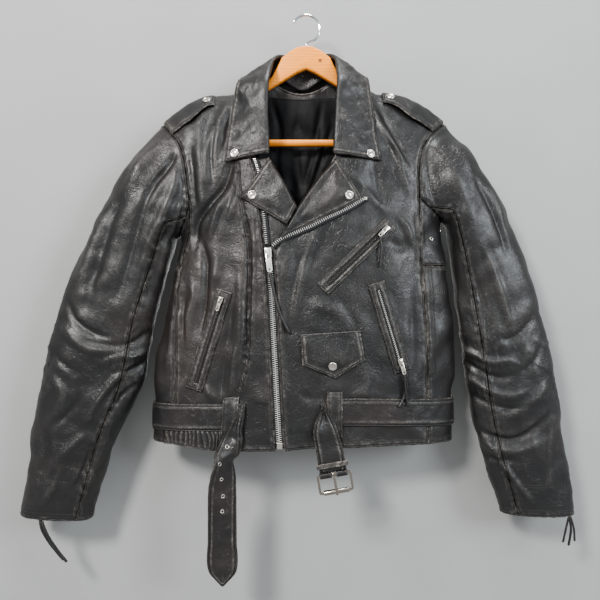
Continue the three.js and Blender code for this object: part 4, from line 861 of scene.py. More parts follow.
def make_materials():
    tree = leather_group()
    make_leather("leather", tree, 0.55, 1.0, 0.2)
    make_leather("leather_cool", tree, 0.3, 1.1, 0.24, 0.1)
    make_leather("leather_faded", tree, 0.95, 0.9, 0.18, 0.0)
    make_leather("leather_plain", tree, 0.25, 0.7, 0.15)

    def satin(graph):
        place = graph.place()
        weave = graph.add("ShaderNodeTexWave", {"Vector": place, "Scale": 900.0, "Distortion": 0.6})
        soft = graph.noise(place, 26.0)
        normal = graph.bump(weave.outputs["Fac"], 0.0001, 0.25, graph.bump(soft, 0.004, 0.5))
        return {"Base Color": tint("satin"), "Roughness": graph.ramp(soft, 0.3, 0.7, 0.56, 0.68),
                "Specular IOR Level": 0.3, "Normal": normal}

    def thread(graph):
        place = graph.place()
        colour = graph.blend(graph.noise(place, 60.0), tint("thread"), (0.03, 0.029, 0.028))
        twist = graph.bump(graph.noise(place, 1400.0, 2.0), 0.0002, 0.5)
        return {"Base Color": colour, "Roughness": 0.6, "Normal": twist}

    def tape(graph):
        weave = graph.noise(graph.place(), 1100.0, 2.0)
        return {"Base Color": tint("tape"), "Roughness": 0.75, "Normal": graph.bump(weave, 0.0003, 0.6)}

    def metal(colour, dull, smooth, rough, metallic=1.0):
        def build(graph):
            place = graph.place()
            tarnish = graph.noise(place, 90.0, 5.0, 0.65)
            scratch = graph.noise(place, 700.0, 3.0, 0.7)
            stain = graph.ramp(tarnish, 0.45, 0.75, 0.0, dull)
            tarnished = graph.blend(stain, colour, tuple(0.45 * c for c in colour))
            return {"Base Color": tarnished, "Metallic": metallic,
                    "Roughness": graph.ramp(tarnish, 0.3, 0.75, smooth, rough),
                    "Normal": graph.bump(scratch, 0.0001, 0.18)}
        return build

    def maple(graph):
        place = graph.place()
        along = graph.add("ShaderNodeMapping", {"Vector": place, "Scale": (5.0, 60.0, 60.0)}).outputs[0]
        wave = {"Vector": along, "Scale": 1.1, "Distortion": 9.0, "Detail": 3.0, "Detail Scale": 1.4}
        rings = graph.add("ShaderNodeTexWave", wave, bands_direction="Z").outputs["Fac"]
        fine = graph.add("ShaderNodeMapping", {"Vector": place, "Scale": (40.0, 500.0, 500.0)}).outputs[0]
        fibre = graph.noise(fine, 1.0, 4.0)
        knot_x, knot_z = chart(320, 62, 0)
        spot = (float(knot_x) * MM, -0.0075, float(knot_z) * MM)
        reach = graph.add("ShaderNodeVectorMath", {0: place, 1: spot},
                          operation="DISTANCE").outputs["Value"]
        colour = graph.blend(graph.ramp(rings, 0.3, 0.9, 0.0, 0.35), tint("maple"), tint("maple_grain"))
        colour = graph.blend(graph.ramp(fibre, 0.45, 0.8, 0.0, 0.35), colour, tint("maple_grain"))
        colour = graph.blend(graph.ramp(reach, 0.0012, 0.0045, 0.85, 0.0), colour, (0.1, 0.035, 0.012))
        return {"Base Color": colour, "Roughness": 0.36, "Coat Weight": 0.25, "Coat Roughness": 0.2,
                "Normal": graph.bump(fibre, 0.0002, 0.3)}

    surface("satin", satin)
    surface("thread", thread)
    surface("tape", tape)
    surface("nickel", metal(tint("nickel"), 0.7, 0.16, 0.4))
    surface("aged_nickel", metal((0.34, 0.305, 0.265), 0.6, 0.16, 0.36))
    surface("bright_nickel", metal((0.8, 0.79, 0.76), 0.3, 0.16, 0.34, 0.6))
    surface("chrome", metal(tint("chrome"), 0.2, 0.06, 0.16))
    surface("maple", maple)


# ---------- seams, calm places and the relief of the body ----------
STEPS = {"armhole": 6, "gusset": 3, "side": 8, "underarm": 8}
SEAM_STEPS = STEPS["armhole"] + STEPS["gusset"] + STEPS["side"]
LOOP_STEPS = 2 * STEPS["armhole"] + STEPS["underarm"]
GUSSET_FOOT = -415
HEM_SIDE = -698
SEAM_GAP = 0.4
ARMHOLES = {
    "right": [(-236, -181.0), (-222, -197), (-207, -215), (-197, -242), (-191, -278), (-187, -312)],
    "left": [(228, -178.0), (212, -193), (195, -211), (184, -238), (180, -274), (181, -306)],
}
SIDE_SEAMS = {
    "right": [(-187, -312), (-188, -350), (-200, -406), (-206, -460), (-208, -540), (-208, -620),
              (-210, -699)],
    "left": [(181, -306), (180, -358), (185, -440), (191, -530), (193, -620), (193, -696)],
}
UNDERARM = {"right": -362, "left": -338}
FLIP = {"right": -1, "left": 1}


def seam_x(side):
    """The x of a side's armhole and side seam over height."""
    return curve(columns("x z", ARMHOLES[side] + SIDE_SEAMS[side][1:]), "z", "x")


def seam_point(side, step):
    """The point (x, z) of a side's armhole and side seam, by fractional step."""
    step = np.asarray(step, float)
    a, g = STEPS["armhole"], STEPS["gusset"]
    top_x, top_z = seam_line(ARMHOLES[side])(np.clip(step / a, 0, 1))
    beside = step - a
    head = SIDE_SEAMS[side][0][1]
    z = np.where(beside <= g, mix(head, GUSSET_FOOT, beside / g),
                 mix(GUSSET_FOOT, HEM_SIDE, (beside - g) / STEPS["side"]))
    return np.where(step <= a, top_x, seam_x(side)(z)), np.where(step <= a, top_z, z)


def seam_edge(side, rear=False):
    """The edge of a front or of the back along a side seam."""
    def at(share):
        x, z = seam_point(side, np.asarray(share) * SEAM_STEPS)
        return (back_turn(x, z) if rear else turn_at(x, z)), z

    return at


def gusset_top(side, s):
    """The upper edge of a gusset, from the front round to the back."""
    head = SIDE_SEAMS[side][0][1]
    s = np.asarray(s, float)
    turn = turn_at(seam_x(side)(head), head)
    rear = FLIP[side] * math.pi - turn
    return mix(turn, rear, s), mix(head, UNDERARM[side], np.sin(np.pi * np.clip(s, 0, 1)) ** 0.8)


def armhole_point(side, step):
    """Points and normals of the closed armhole loop, from the shoulder down the front."""
    step = np.mod(np.asarray(step, float), LOOP_STEPS)
    rear = step > LOOP_STEPS / 2
    down = np.where(rear, LOOP_STEPS - step, step)
    x, z = seam_point(side, np.minimum(down, STEPS["armhole"]))
    turn = turn_at(x, z)
    turn = np.where(rear, FLIP[side] * math.pi - turn, turn)
    low, low_z = gusset_top(side, (step - STEPS["armhole"]) / STEPS["underarm"])
    under = down > STEPS["armhole"]
    return form(np.where(under, low, turn), np.where(under, low_z, z))


LOOPS = {side: armhole_point(side, np.linspace(0, LOOP_STEPS, 161))[0] for side in FLIP}


def distance_to(points, line):
    """Distance from points to a dense line of points, in 3-D or in the plane (x, z)."""
    line = np.asarray(line)
    if line.shape[-1] == 2:
        points = points[..., [0, 2]]
    flat = points.reshape(-1, line.shape[-1])
    best = np.full(len(flat), 1e9)
    for a, b in zip(line[:-1], line[1:]):
        d = b - a
        t = np.clip(((flat - a) @ d) / max(d @ d, 1e-9), 0, 1)
        best = np.minimum(best, np.linalg.norm(flat - a - t[:, None] * d, axis=1))
    return best.reshape(points.shape[:-1])


ZIP = columns("x z", [
    (-90, -205), (-80.5, -248), (-74.5, -268), (-66.5, -334), (-61.5, -384), (-56.5, -424), (-50, -546),
    (-43.7, -669), (-41, -706),
])
zip_x = curve(ZIP, "z", "x")
BELT_TOP = curve(columns("x z", [(-252, -635), (-106, -632), (0, -628), (57, -623), (242, -628)]), "x", "z")
BELT_WIDTH = 43.0
POCKETS = {
    "chest": ((133, -350), (25, -453), 25),
    "lower_left": ((109, -443), (151, -582), 27),
    "lower_right": ((-129, -455), (-177, -611), 27),
}
ZIP_LINE = np.array([(zip_x(z), z) for z in np.linspace(-250, -700, 30)])
# Lines along which the leather lies flat, and how far either side.
CALM_LINES = [(ZIP_LINE, 13)] + [(np.array([a, b], float), w * 0.55 + 2) for a, b, w in POCKETS.values()]
CALM_LINES.append((np.array([(-5, -545), (86, -541)], float), 22))


def calm(points, normals):
    """How much of the folds is left: little under the belt, zips and pockets, and none at the armholes."""
    keep = np.ones(points.shape[:-1])
    front = smooth_step(0, 0.3, -normals[..., 1])
    for line, reach in CALM_LINES:
        keep *= 1 - 0.8 * front * np.exp(-((distance_to(points, line) / reach) ** 4))
    middle_of_belt = BELT_TOP(points[..., 0]) - BELT_WIDTH / 2
    keep *= 1 - 0.93 * np.exp(-(((points[..., 2] - middle_of_belt) / (BELT_WIDTH * 0.56)) ** 8))
    for loop in LOOPS.values():
        keep *= smooth_step(0, 20, distance_to(points, loop))
    return keep


def body_relief(points, normals):
    return relief(points, normals, FRONT_FOLDS, BACK_FOLDS, BODY_SEED) * calm(points, normals)


def spaced(total, bias=0.55):
    """Shares from 0 to 1 that lie closer together near both ends."""
    t = np.linspace(0, 1, total)
    return t - bias * np.sin(TURN * t) / TURN


def seam_profile(distance):
    """Height beside a seam: a channel along it and a low ridge next to it."""
    return -1.0 * hump(distance, 1.4) + 0.45 * hump(distance - 4.5, 3.2)


def pucker(points, distance, seed, height=0.5):
    """The small waves that a seam pulls up beside it."""
    return height * waves(points, 11, seed) * hump(distance, 8)


LEAST_SIDE = 0.01  # m, the narrowest cut that can be declared
LEAST_SHARE = 0.31  # the least part of width times length that its area can be declared as


def cut_of(points):
    """Width, length and area in metres of the cut of a grid."""
    across = np.linalg.norm(np.diff(points, axis=1), axis=-1)
    down = np.linalg.norm(np.diff(points, axis=0), axis=-1)
    a, b = points[1:, 1:] - points[:-1, :-1], points[1:, :-1] - points[:-1, 1:]
    area = float(np.linalg.norm(np.cross(a, b), axis=-1).sum()) / 2 * MM * MM
    width, length = float(across.sum(axis=1).max()) * MM, float(down.sum(axis=0).max()) * MM
    return (width, length), max(min(area, width * length), LEAST_SHARE * width * length)


def cloth_piece(name, nodes, flat_points, cloth, wall, material, attributes):
    """A shell on the jacket's body that hides the solids it replaces; the cut of its points without creases
    is worked out but not kept.
    """
    piece = shell(name, cloth, wall, material, attributes)
    finish_piece(piece, BODY, nodes)
    flat, area = cut_of(flat_points)
    return piece


def body_panel(name, nodes, edges, rows, cols, seams, material, seed, lift=0.0, extra=None, lowest=-FAR):
    """A panel of the body between four edges given as functions of turn and height."""
    turn, z = patch(*edges, rows, cols)
    smooth, normals = form(turn, z)
    flat = Cloth(smooth, normals)
    seam = flat.nearest(seams)
    if extra is not None:
        seam = np.minimum(seam, extra(smooth))
    height = np.maximum(body_relief(smooth, normals) + lift, lowest)
    height += seam_profile(seam) + pucker(smooth, seam, seed)
    cloth = Cloth(smooth + normals * height[..., None], normals)
    marks = leather_marks(cloth, height, seams)
    marks["seam"] = seam
    marks["wear"] = np.maximum(marks["wear"], 0.24 * hump(seam, 1.4))
    cloth_piece(name, nodes, smooth, cloth, sizes().leather, material, marks)
    return cloth


# ---------- fronts, back and sides ----------
def shoulder_edge(start, stop):
    def at(share):
        x = mix(start, stop, np.asarray(share))
        z = shoulder(x) - TOP_GAP
        return turn_at(x, z), z

    return at


HALF_CHAIN = 4.5
FRONT_RIGHT_INNER = [(-71, -90.5), (-73, -140), (-90, -190)] + [
    (x - HALF_CHAIN - 2.2, z) for x, z in list(zip(ZIP["x"], ZIP["z"]))[1:]
]
FRONT_LEFT_INNER = [
    (58, -89.5), (49, -140), (46, -239), (-13, -325), (-28, -352), (-40, -372), (-48, -390),
] + [(float(zip_x(z)) + HALF_CHAIN + 1.4, z) for z in (-408, -424, -460, -546, -669, -706)]
HEM_RIGHT = [(-210, -698), (-150, -705), (-46, -706)]
HEM_LEFT = [(-36, -706), (14, -701), (193, -695)]


def panel_size(width, height):
    """Rows and columns of a grid for a size in mm."""
    pitch = sizes().mesh_pitch
    return count(height, pitch), count(width, pitch)


def chart_line(spots, depth=FRONT_Y):
    x, z = chart(*np.array(spots, float).T, depth)
    return np.stack([x, z], axis=-1)


# The yoke seam of the wearer's right front.
PRINCESS = [(237, 162), (240, 194), (248, 239), (249, 256), (249, 319), (247, 358), (240, 389)]


def laid_line(line, offset=0.0, lift=0.0, pitch=1.5):
    """Points and normals along a line of (x, z) on the body, moved sideways by offset."""
    line = route(np.asarray(line, float))(np.linspace(0, 1, 60))
    share = shares_along(line)
    at = np.linspace(0, 1, count(reach_along(line)[-1], pitch))
    x, z = np.interp(at, share, line[:, 0]), np.interp(at, share, line[:, 1])
    dx, dz = np.gradient(x), np.gradient(z)
    size = np.maximum(np.hypot(dx, dz), 1e-9)
    return on_front(x - offset * dz / size, z + offset * dx / size, lift)


def make_fronts():
    """Both fronts, the underlap of the zip and what is sewn on them."""
    princess = route(chart_line(PRINCESS))(np.linspace(0, 1, 40))
    rows, cols = panel_size(175, 590)
    right = body_panel(
        "front_right_leather", ["front_right"],
        (shoulder_edge(-236, -71), turned(hem_line(HEM_RIGHT)),
         seam_edge("right"), turned(seam_line(FRONT_RIGHT_INNER))),
        rows, cols, ALL_EDGES, "leather_faded", 31,
        extra=lambda p: distance_to(p, princess),
    )
    rows, cols = panel_size(230, 590)
    left = body_panel(
        "front_left_leather", ["front_left"],
        (shoulder_edge(58, 228), turned(hem_line(HEM_LEFT)),
         turned(seam_line(FRONT_LEFT_INNER)), seam_edge("left")),
        rows, cols, ALL_EDGES, "leather_cool", 32,
    )
    outer = [(-88, -246), (-76, -334), (-72, -384), (-62, -546), (-53, -702)]
    inner = [(-60, -246), (-15, -326), (-22, -420), (-20, -546), (-14, -702)]
    rows, cols = panel_size(40, 470)
    body_panel(
        "underlap_leather", ["underlap"],
        (turned(hem_line([outer[0], inner[0]])), turned(hem_line([outer[-1], inner[-1]])),
         turned(seam_line(outer)), turned(seam_line(inner))),
        rows, cols, ["left", "right"], "leather_faded", 33, lift=-4.4,
    )
    lines = right.rows("left top", STITCH) + right.rows("bottom", STITCH, HEM_ROW)
    lines += [right.inset_line("right", 7.5, 0.3), laid_line(princess, 2.6, 0.4)]
    stitches("stitches_front_right", lines + [right.inset_line("right", STITCH, 0.3)])
    lines = left.rows("right top", STITCH) + left.rows("bottom", STITCH, HEM_ROW)
    lines += [left.inset_line("left", STITCH, 0.42), left.inset_line("left", 9.0, 0.5)]
    stitches("stitches_front_left", lines)
    make_side_braids()
    make_hem_elastic()


BRAIDS = {
    "braid_right": [(175, 297), (174.5, 330), (174, 365), (175, 402)],
    "braid_left": [(430, 262), (432, 300), (433, 338), (434, 372)],
}


def make_hem_elastic():
    """The gathered band over the hem of the wearer's right front."""
    (x0, z0), (x1, z1) = chart(161, 430), chart(223, 450)
    rows, cols = count(z0 - z1, 1.6), count(x1 - x0, 1.15)
    x, share = np.meshgrid(np.linspace(x0, x1, cols), np.linspace(0, 1, rows))
    hem = curve(columns("x z", HEM_RIGHT), "x", "z")(x)
    z = mix(z0, hem - 0.6, share)
    smooth, normals = form(turn_at(x, z), z)
    flat = Cloth(smooth, normals)
    inside = flat.nearest(ALL_EDGES)
    bend = 1.2 * np.sin(z / 11.0) + 1.2 * waves(smooth, 40, 41)
    ribs = np.abs(np.sin((x + bend) * np.pi / 7.2 + 0.3 * waves(smooth, 30, 43))) ** 0.8
    taper = smooth_step(0, 5, inside)
    height = body_relief(smooth, normals) * 0.5 + 1.5
    height += 2.6 * ribs * taper * (0.6 + 0.4 * np.sin(np.pi * share))
    cloth = Cloth(smooth + normals * height[..., None], normals)
    marks = leather_marks(cloth, height, ["bottom"])
    marks["wear"] = np.clip(marks["wear"] + 0.35 * smooth_step(0.75, 1.0, ribs) * taper, 0, 1)
    marks["seam"] = inside + 3.6
    cloth_piece("hem_gathers_leather", [], smooth, cloth, 1.2, "leather", marks)


def make_side_braids():
    """Herringbone rows beside the side seams."""
    for name, spots in BRAIDS.items():
        line = route(chart_line(spots, -40))(np.linspace(0, 1, 50))
        rows = []
        for sign in (-1, 1):
            points, normals = laid_line(line, sign * 2.1, 0.35, 3.2)
            down = unit(np.gradient(points, axis=0))
            side = unit(np.cross(normals, down))
            for p, n, d, s in zip(points, normals, down, side):
                reach = 1.7 * d + sign * 1.6 * s
                rows.append((np.array([p - reach, p + reach]), np.array([n, n])))
        stitches(name, rows, lift=0.25, pitch=4.6)


BACK_DENSITY = 0.7  # of the fronts' points, both ways
BACK_FLOOR = -1.2  # mm, keeps the folds of the back outside its lining


def make_back():
    """The back and, inside it, the satin of the neck opening."""
    def neck(x):
        inside = np.clip((x + 68) / 123, 0, 1)
        return 42 * np.sin(np.pi * inside) ** 0.7

    def top(s):
        x = mix(-236, 228, np.asarray(s))
        z = shoulder(x) - neck(x)
        return back_turn(x, z), z - TOP_GAP

    def bottom(s):
        a, b = back_turn(-210, HEM_SIDE), back_turn(193, HEM_SIDE)
        return mix(a, b, np.asarray(s)), np.full(np.shape(s), float(HEM_SIDE))

    rows, cols = panel_size(560, 600)
    edges = (top, bottom, seam_edge("right", True), seam_edge("left", True))
    back = body_panel("back_leather", ["back"], edges, int(rows * BACK_DENSITY), int(cols * BACK_DENSITY),
                      ALL_EDGES, "leather", 34, lowest=BACK_FLOOR)
    stitches("stitches_back", back.rows("left right", STITCH) + back.rows("bottom", HEM_ROW))

    def line(x0, slope):
        def at(v):
            v = np.asarray(v)
            x, z = x0 + slope * v, -128 - 244 * v
            return back_turn(x, z), z
        return at

    def level(x0, x1, z0, dip):
        def at(s):
            s = np.asarray(s)
            z = z0 - dip * np.sin(np.pi * s)
            return back_turn(mix(x0, x1, s), np.full(s.shape, float(z0))), z
        return at

    edges = (level(-78, 66, -128, 4), level(-84, 72, -372, 0), line(-78, -6), line(66, 6))
    turn, z = patch(*edges, *panel_size(150, 244))
    smooth, normals = form(turn, z)
    # the lining's seen face looks forward, into the jacket
    height = 6.2 - 1.6 * waves(smooth, 60, 55)
    height = height - 3.2 * smooth_step(-180, -300, z) * waves(smooth * [1, 1, 0.25], 26, 56)
    for crease in LINING_FOLDS:
        height = height - fold_height(smooth[..., 0], smooth[..., 2], crease)
    height = np.maximum(height, 3.4)
    cloth = Cloth(smooth - normals * height[..., None], -normals)
    cloth_piece("lining_back_satin", ["lining_back"], smooth, cloth, sizes().satin, "satin",
                {"wear": np.zeros(z.shape), "seam": np.full(z.shape, FAR)})


LINING_FOLDS = folds(20.0, [
    ([(272, 100), (280, 130), (276, 170), (284, 200)], 5, 4.0, 0.3),
    ([(300, 110), (296, 150), (300, 200)], 6, 4.5, 0.3),
    ([(322, 105), (314, 150), (304, 190)], 5, 4.0, 0.3),
    ([(334, 120), (322, 160), (306, 205)], 4, 3.4, 0.3),
])


def beside_seam(side, z, clearance):
    """The turn that far outside a side seam."""
    turn = turn_at(seam_x(side)(z), z)
    return turn + FLIP[side] * clearance / half_width(z) / np.cos(turn)


def make_sides():
    """Side panels and gussets, and the eyelets of the left gusset."""
    for side in ("right", "left"):
        flip = FLIP[side]

        def edge(rear, low, high, side=side, flip=flip):
            def at(v):
                x, z = seam_point(side, mix(low, high, np.asarray(v)))
                turn = beside_seam(side, z, 2 * SEAM_GAP)
                return (flip * math.pi - turn if rear else turn), z
            return at

        def level(z, side=side, flip=flip):
            def at(s):
                turn = beside_seam(side, z, 2 * SEAM_GAP)
                return mix(turn, flip * math.pi - turn, np.asarray(s)), np.full(np.shape(s), float(z))
            return at

        def top(s, side=side):
            turn, z = gusset_top(side, s)
            return turn, z - 1.2

        a, g = STEPS["armhole"], STEPS["gusset"]
        rows, cols = panel_size(200, 100)
        gusset = body_panel(f"gusset_{side}_leather", [f"gusset_{side}"],
                            (top, level(GUSSET_FOOT), edge(False, a, a + g), edge(True, a, a + g)),
                            rows, cols, ALL_EDGES, "leather_plain", 35)
        rows, cols = panel_size(200, 283)
        panel = body_panel(f"side_{side}_leather", [f"side_{side}"],
                           (level(GUSSET_FOOT - 0.5), level(HEM_SIDE),
                            edge(False, a + g, SEAM_STEPS), edge(True, a + g, SEAM_STEPS)),
                           rows, cols, ALL_EDGES, "leather", 36)
        stitches(f"stitches_side_{side}",
                 gusset.rows("bottom", STITCH, 6.5) + panel.rows("top", STITCH, 6.5)
                 + panel.rows("left right", STITCH) + panel.rows("bottom", HEM_ROW))
    eyes = [on_front(*chart(u, v, -30.0), lift=1.0) for u, v in ((431, 239), (442, 230))]
    make_eyelets("gusset_eyelets", eyes, 2.6)


def axes_at(normal):
    """Axes of a spot on a surface: across, down and out."""
    out = unit(np.asarray(normal, float))
    along = np.array([0.0, 0.0, -1.0])
    along = unit(along - out * (along @ out))
    return np.stack([np.cross(along, out), along, out])


def start_shape(add, **settings):
    """Adds one primitive, with nothing else selected, and opens it for editing."""
    bpy.ops.object.select_all(action="DESELECT")
    add(location=(0, 0, 0), **settings)
    bpy.ops.object.mode_set(mode="EDIT")
    bpy.ops.mesh.select_all(action="SELECT")


def finish_shape():
    """Closes the edited primitive and gives its points in mm and its faces; the object itself goes."""
    bpy.ops.mesh.select_all(action="SELECT")
    bpy.ops.mesh.remove_doubles(threshold=1e-6)
    bpy.ops.mesh.fill_holes(sides=0)
    bpy.ops.mesh.select_all(action="SELECT")
    bpy.ops.mesh.normals_make_consistent(inside=False)
    bpy.ops.object.mode_set(mode="OBJECT")
    shape = bpy.context.active_object
    verts = np.array([tuple(v.co) for v in shape.data.vertices]) / MM
    faces = [tuple(face.vertices) for face in shape.data.polygons]
    mesh = shape.data
    bpy.data.objects.remove(shape)
    bpy.data.meshes.remove(mesh)
    return verts, faces


def raise_faces(height, share):
    """Draws the selected faces up by a height in mm and narrows them about the axis."""
    bpy.ops.mesh.extrude_region_move(TRANSFORM_OT_translate={"value": (0, 0, height * MM)})
    bpy.ops.transform.resize(value=(share, share, 1), center_override=(0, 0, 0))


def pressed(rings, sides):
    """A round piece pressed up from a disc; rings are (radius, height) from its foot."""
    (radius, height), *upper = rings
    start_shape(bpy.ops.mesh.primitive_circle_add, vertices=sides, radius=radius * MM, fill_type="NGON")
    bpy.ops.transform.translate(value=(0, 0, height * MM))
    for next_radius, next_height in upper:
        raise_faces(next_height - height, next_radius / radius)
        radius, height = next_radius, next_height
    return finish_shape()


def stamped(width, length, height, bevel=0.0):
    """A metal clamp: a block with a smaller raised top and, with a bevel, rounded edges."""
    sunk, shoulder = 0.4, 0.7 * height
    start_shape(bpy.ops.mesh.primitive_cube_add, size=MM)
    bpy.ops.transform.resize(value=(width, length, shoulder + sunk), center_override=(0, 0, 0))
    bpy.ops.transform.translate(value=(0, 0, 0.5 * (shoulder - sunk) * MM))
    select_top()
    raise_faces(height - shoulder, 0.76)
    if bevel:
        bpy.ops.mesh.select_all(action="SELECT")
        bpy.ops.mesh.bevel(offset=bevel * MM, segments=2, affect="EDGES")
    return finish_shape()


def select_top():
    """Selects only the highest faces of the shape that is being edited."""
    bpy.ops.mesh.select_all(action="DESELECT")
    bpy.ops.mesh.select_mode(type="FACE")
    mesh = bpy.context.edit_object.data
    work = bmesh.from_edit_mesh(mesh)
    top = max(face.calc_center_median().z for face in work.faces)
    for face in work.faces:
        if face.calc_center_median().z > top - 1e-6:
            face.select_set(True)
    bmesh.update_edit_mesh(mesh)


def placed_copies(name, shape, places, material, replaces=(), smooth=True):
    """Copies of a shape, each stood on its point along its normal, as one mesh."""
    verts, faces = shape
    all_verts, all_faces = [], []
    for point, normal in places:
        axes = axes_at(normal)
        base = len(all_verts) * len(verts)
        all_faces.extend(tuple(base + i for i in face) for face in faces)
        all_verts.append(verts @ axes + point)
    piece = new_object(name, np.concatenate(all_verts), all_faces, material, smooth=smooth)
    outward(piece)
    return finish_piece(piece, BODY, replaces)


def make_eyelets(name, places, radius):
    rim = [(1.3, -0.5), (1.36, 0.1), (1.22, 0.5), (1.0, 0.5), (0.76, 0.15), (0.68, -0.45)]
    ring = pressed([(radius * r, h) for r, h in rim], 20)
    placed_copies(name, ring, places, "nickel")
    # The dark cap inside each ring is painted shade: a disc in the zip tape's dark colour stands where the
    # hole would be, since no hole is cut through the leather.
    hole_shade_cap = pressed([(radius * r, h) for r, h in ((0.74, -0.6), (0.74, -0.1), (0.5, -0.02))], 14)
    placed_copies(name + "_holes", hole_shade_cap, places, "tape")


# ---------- sleeves ----------
SLEEVE_ROWS = {
    "right": columns("ox oz ix iz front back y", [
        (-285, -236, -214, -374, 42, 25, -3), (-331, -312, -226, -424, 39, 25, -3),
        (-366, -385, -241, -475, 37, 25, -3), (-397, -458, -253, -522, 36, 25, -3),
        (-419, -530, -261, -575, 35, 25, -4), (-436, -606, -274, -622, 33, 25, -4),
        (-448, -680, -301, -672, 31, 24, -4), (-458, -756, -324, -731, 29, 23, -3),
        (-466, -795, -339, -783, 27, 22, -2), (-470, -823, -353, -830, 25, 20, -1),
    ]),
    "left": columns("ox oz ix iz front back y", [
        (263, -222, 229, -352, 42, 25, -3), (309, -290, 238, -398, 39, 25, -3),
        (342, -360, 243, -445, 37, 25, -3), (369, -434, 250, -495, 36, 25, -3),
        (390, -512, 257, -545, 35, 25, -4), (407, -582, 264, -594, 33, 25, -4),
        (419, -650, 273, -656, 31, 24, -4), (425, -716, 292, -724, 29, 23, -3),
        (437, -768, 308, -776, 27, 22, -2), (442, -822, 322, -820, 25, 20, -1),
    ]),
}
SECTION_POWER = 2 / 2.3
UNDER_FROM = 7
UNDER_TO = 13


def sleeve_rings(side, steps):
    """Rings of points down a sleeve, its armhole first, and the centre of each ring."""
    rows = SLEEVE_ROWS[side]
    angle = np.mod(steps, LOOP_STEPS) / LOOP_STEPS * TURN
    head, _ = armhole_point(side, steps)
    rings = []
    for k in range(len(rows["ox"])):
        r = {key: values[k] for key, values in rows.items()}
        centre = np.array([(r["ox"] + r["ix"]) / 2, r["y"], (r["oz"] + r["iz"]) / 2])
        reach = np.array([(r["ox"] - r["ix"]) / 2, 0, (r["oz"] - r["iz"]) / 2])
        side_way = -squared(np.sin(angle), SECTION_POWER) * np.where(np.sin(angle) > 0, r["front"],
                                                                     r["back"])
        along = reach * squared(np.cos(angle), SECTION_POWER)[:, None]
        rings.append(centre + along + np.array([0, 1, 0]) * side_way[:, None])
    return np.array([head, (head + rings[0]) / 2] + rings)


def sleeve_cloth(side, start, stop):
    """The part of a sleeve between two steps round its armhole."""
    total = (stop - start) / LOOP_STEPS
    rows, cols = panel_size(400 * total, 560)
    steps = mix(start, stop, spaced(cols))
    rings = sleeve_rings(side, steps)
    whole = sleeve_rings(side, np.linspace(0, LOOP_STEPS, 41)[:-1])
    gaps = np.linalg.norm(np.diff(whole, axis=0), axis=-1).mean(axis=1)
    keys = np.concatenate([[0], np.cumsum(gaps)]) / gaps.sum()
    at = spaced(rows, 0.5)
    smooth = smooth_rows(keys, rings, at)
    centre = smooth_rows(keys, whole.mean(axis=1), at)
    flat = Cloth(smooth, smooth - centre[:, None])
    seam = flat.nearest(ALL_EDGES)
    seed = 71 if side == "right" else 83
    height = relief(smooth, flat.n, SLEEVE_FOLDS[side], SLEEVE_BACK_FOLDS, seed, 1.15)
    # elbow: crossing puckers on the inner half
    elbow = hump(smooth[..., 2] + 560, 75)
    height += 1.9 * elbow * (creases(smooth * [0.45, 1, 1.0], 30, seed + 5) - 0.25)
    height += 0.8 * creases(smooth * [1, 1, 0.6], 34, seed + 6) * smooth_step(-600, -760, smooth[..., 2])
    height *= smooth_step(0, 20, distance_to(smooth, LOOPS[side]))
    height *= 0.4 + 0.6 * smooth_step(0, 18, flat.edges["bottom"])
    height += seam_profile(seam) + pucker(smooth, seam, seed + 7, 0.6)
    cloth = Cloth(smooth + flat.n * height[..., None], flat.n)
    marks = leather_marks(cloth, height, ALL_EDGES, 0.35, 0.25)
    hem = 0.75 * hump(flat.edges["bottom"], 1.9)
    bent = 0.14 * elbow * smooth_step(0.3, 1.0, creases(smooth, 26, seed + 8))
    marks["wear"] = np.clip(np.maximum(marks["wear"], hem) + bent, 0, 1)
    return smooth, cloth, marks


SLEEVES = {}


def make_sleeves():
    """Upper and under sleeves, and their cuffs."""
    for side in ("right", "left"):
        material = "leather" if side == "right" else "leather_cool"
        parts = (("upper", UNDER_TO - LOOP_STEPS, UNDER_FROM), ("under", UNDER_FROM, UNDER_TO))
        for part, start, stop in parts:
            smooth, cloth, marks = sleeve_cloth(side, start + 0.02, stop - 0.02)
            name = f"sleeve_{side}_{part}"
            cloth_piece(name + "_leather", [name], smooth, cloth, sizes().leather, material, marks)
            lines = cloth.rows("left", STITCH) + cloth.rows("bottom", STITCH, CUFF_ROW)
            if part == "upper":
                lines += cloth.rows("top right", STITCH)
                SLEEVES[side] = cloth
            stitches("stitches_" + name, lines)
    make_cuffs()


def near_on(cloth, x, z):
    """The point and normal of a cloth's front under (x, z)."""
    flat, up = cloth.p.reshape(-1, 3), cloth.n.reshape(-1, 3)
    far = np.hypot(flat[:, 0] - x, flat[:, 2] - z) + np.where(up[:, 1] < 0.05, 0, 1e3)
    best = np.argsort(far)[:4]
    weight = 1 / (far[best] + 0.3)
    weight /= weight.sum()
    point = weight @ flat[best]
    return point, unit(weight @ up[best])


def line_on(cloth, spots):
    """Points and normals on a sleeve along charted spots."""
    line = route(chart_line(spots, SLEEVE_Y))(np.linspace(0, 1, 40))
    at = np.linspace(0, 1, count(reach_along(line)[-1], 2.0))
    points, normals = zip(*(near_on(cloth, *row) for row in route(line)(at)))
    return blur_line(np.array(points)), blur_line(np.array(normals))


def blur_line(points):
    """Softens a line of points between its ends."""
    for _ in range(3):
        points = np.concatenate([points[:1], (points[:-2] + 2 * points[1:-1] + points[2:]) / 4,
                                 points[-1:]])
    return points


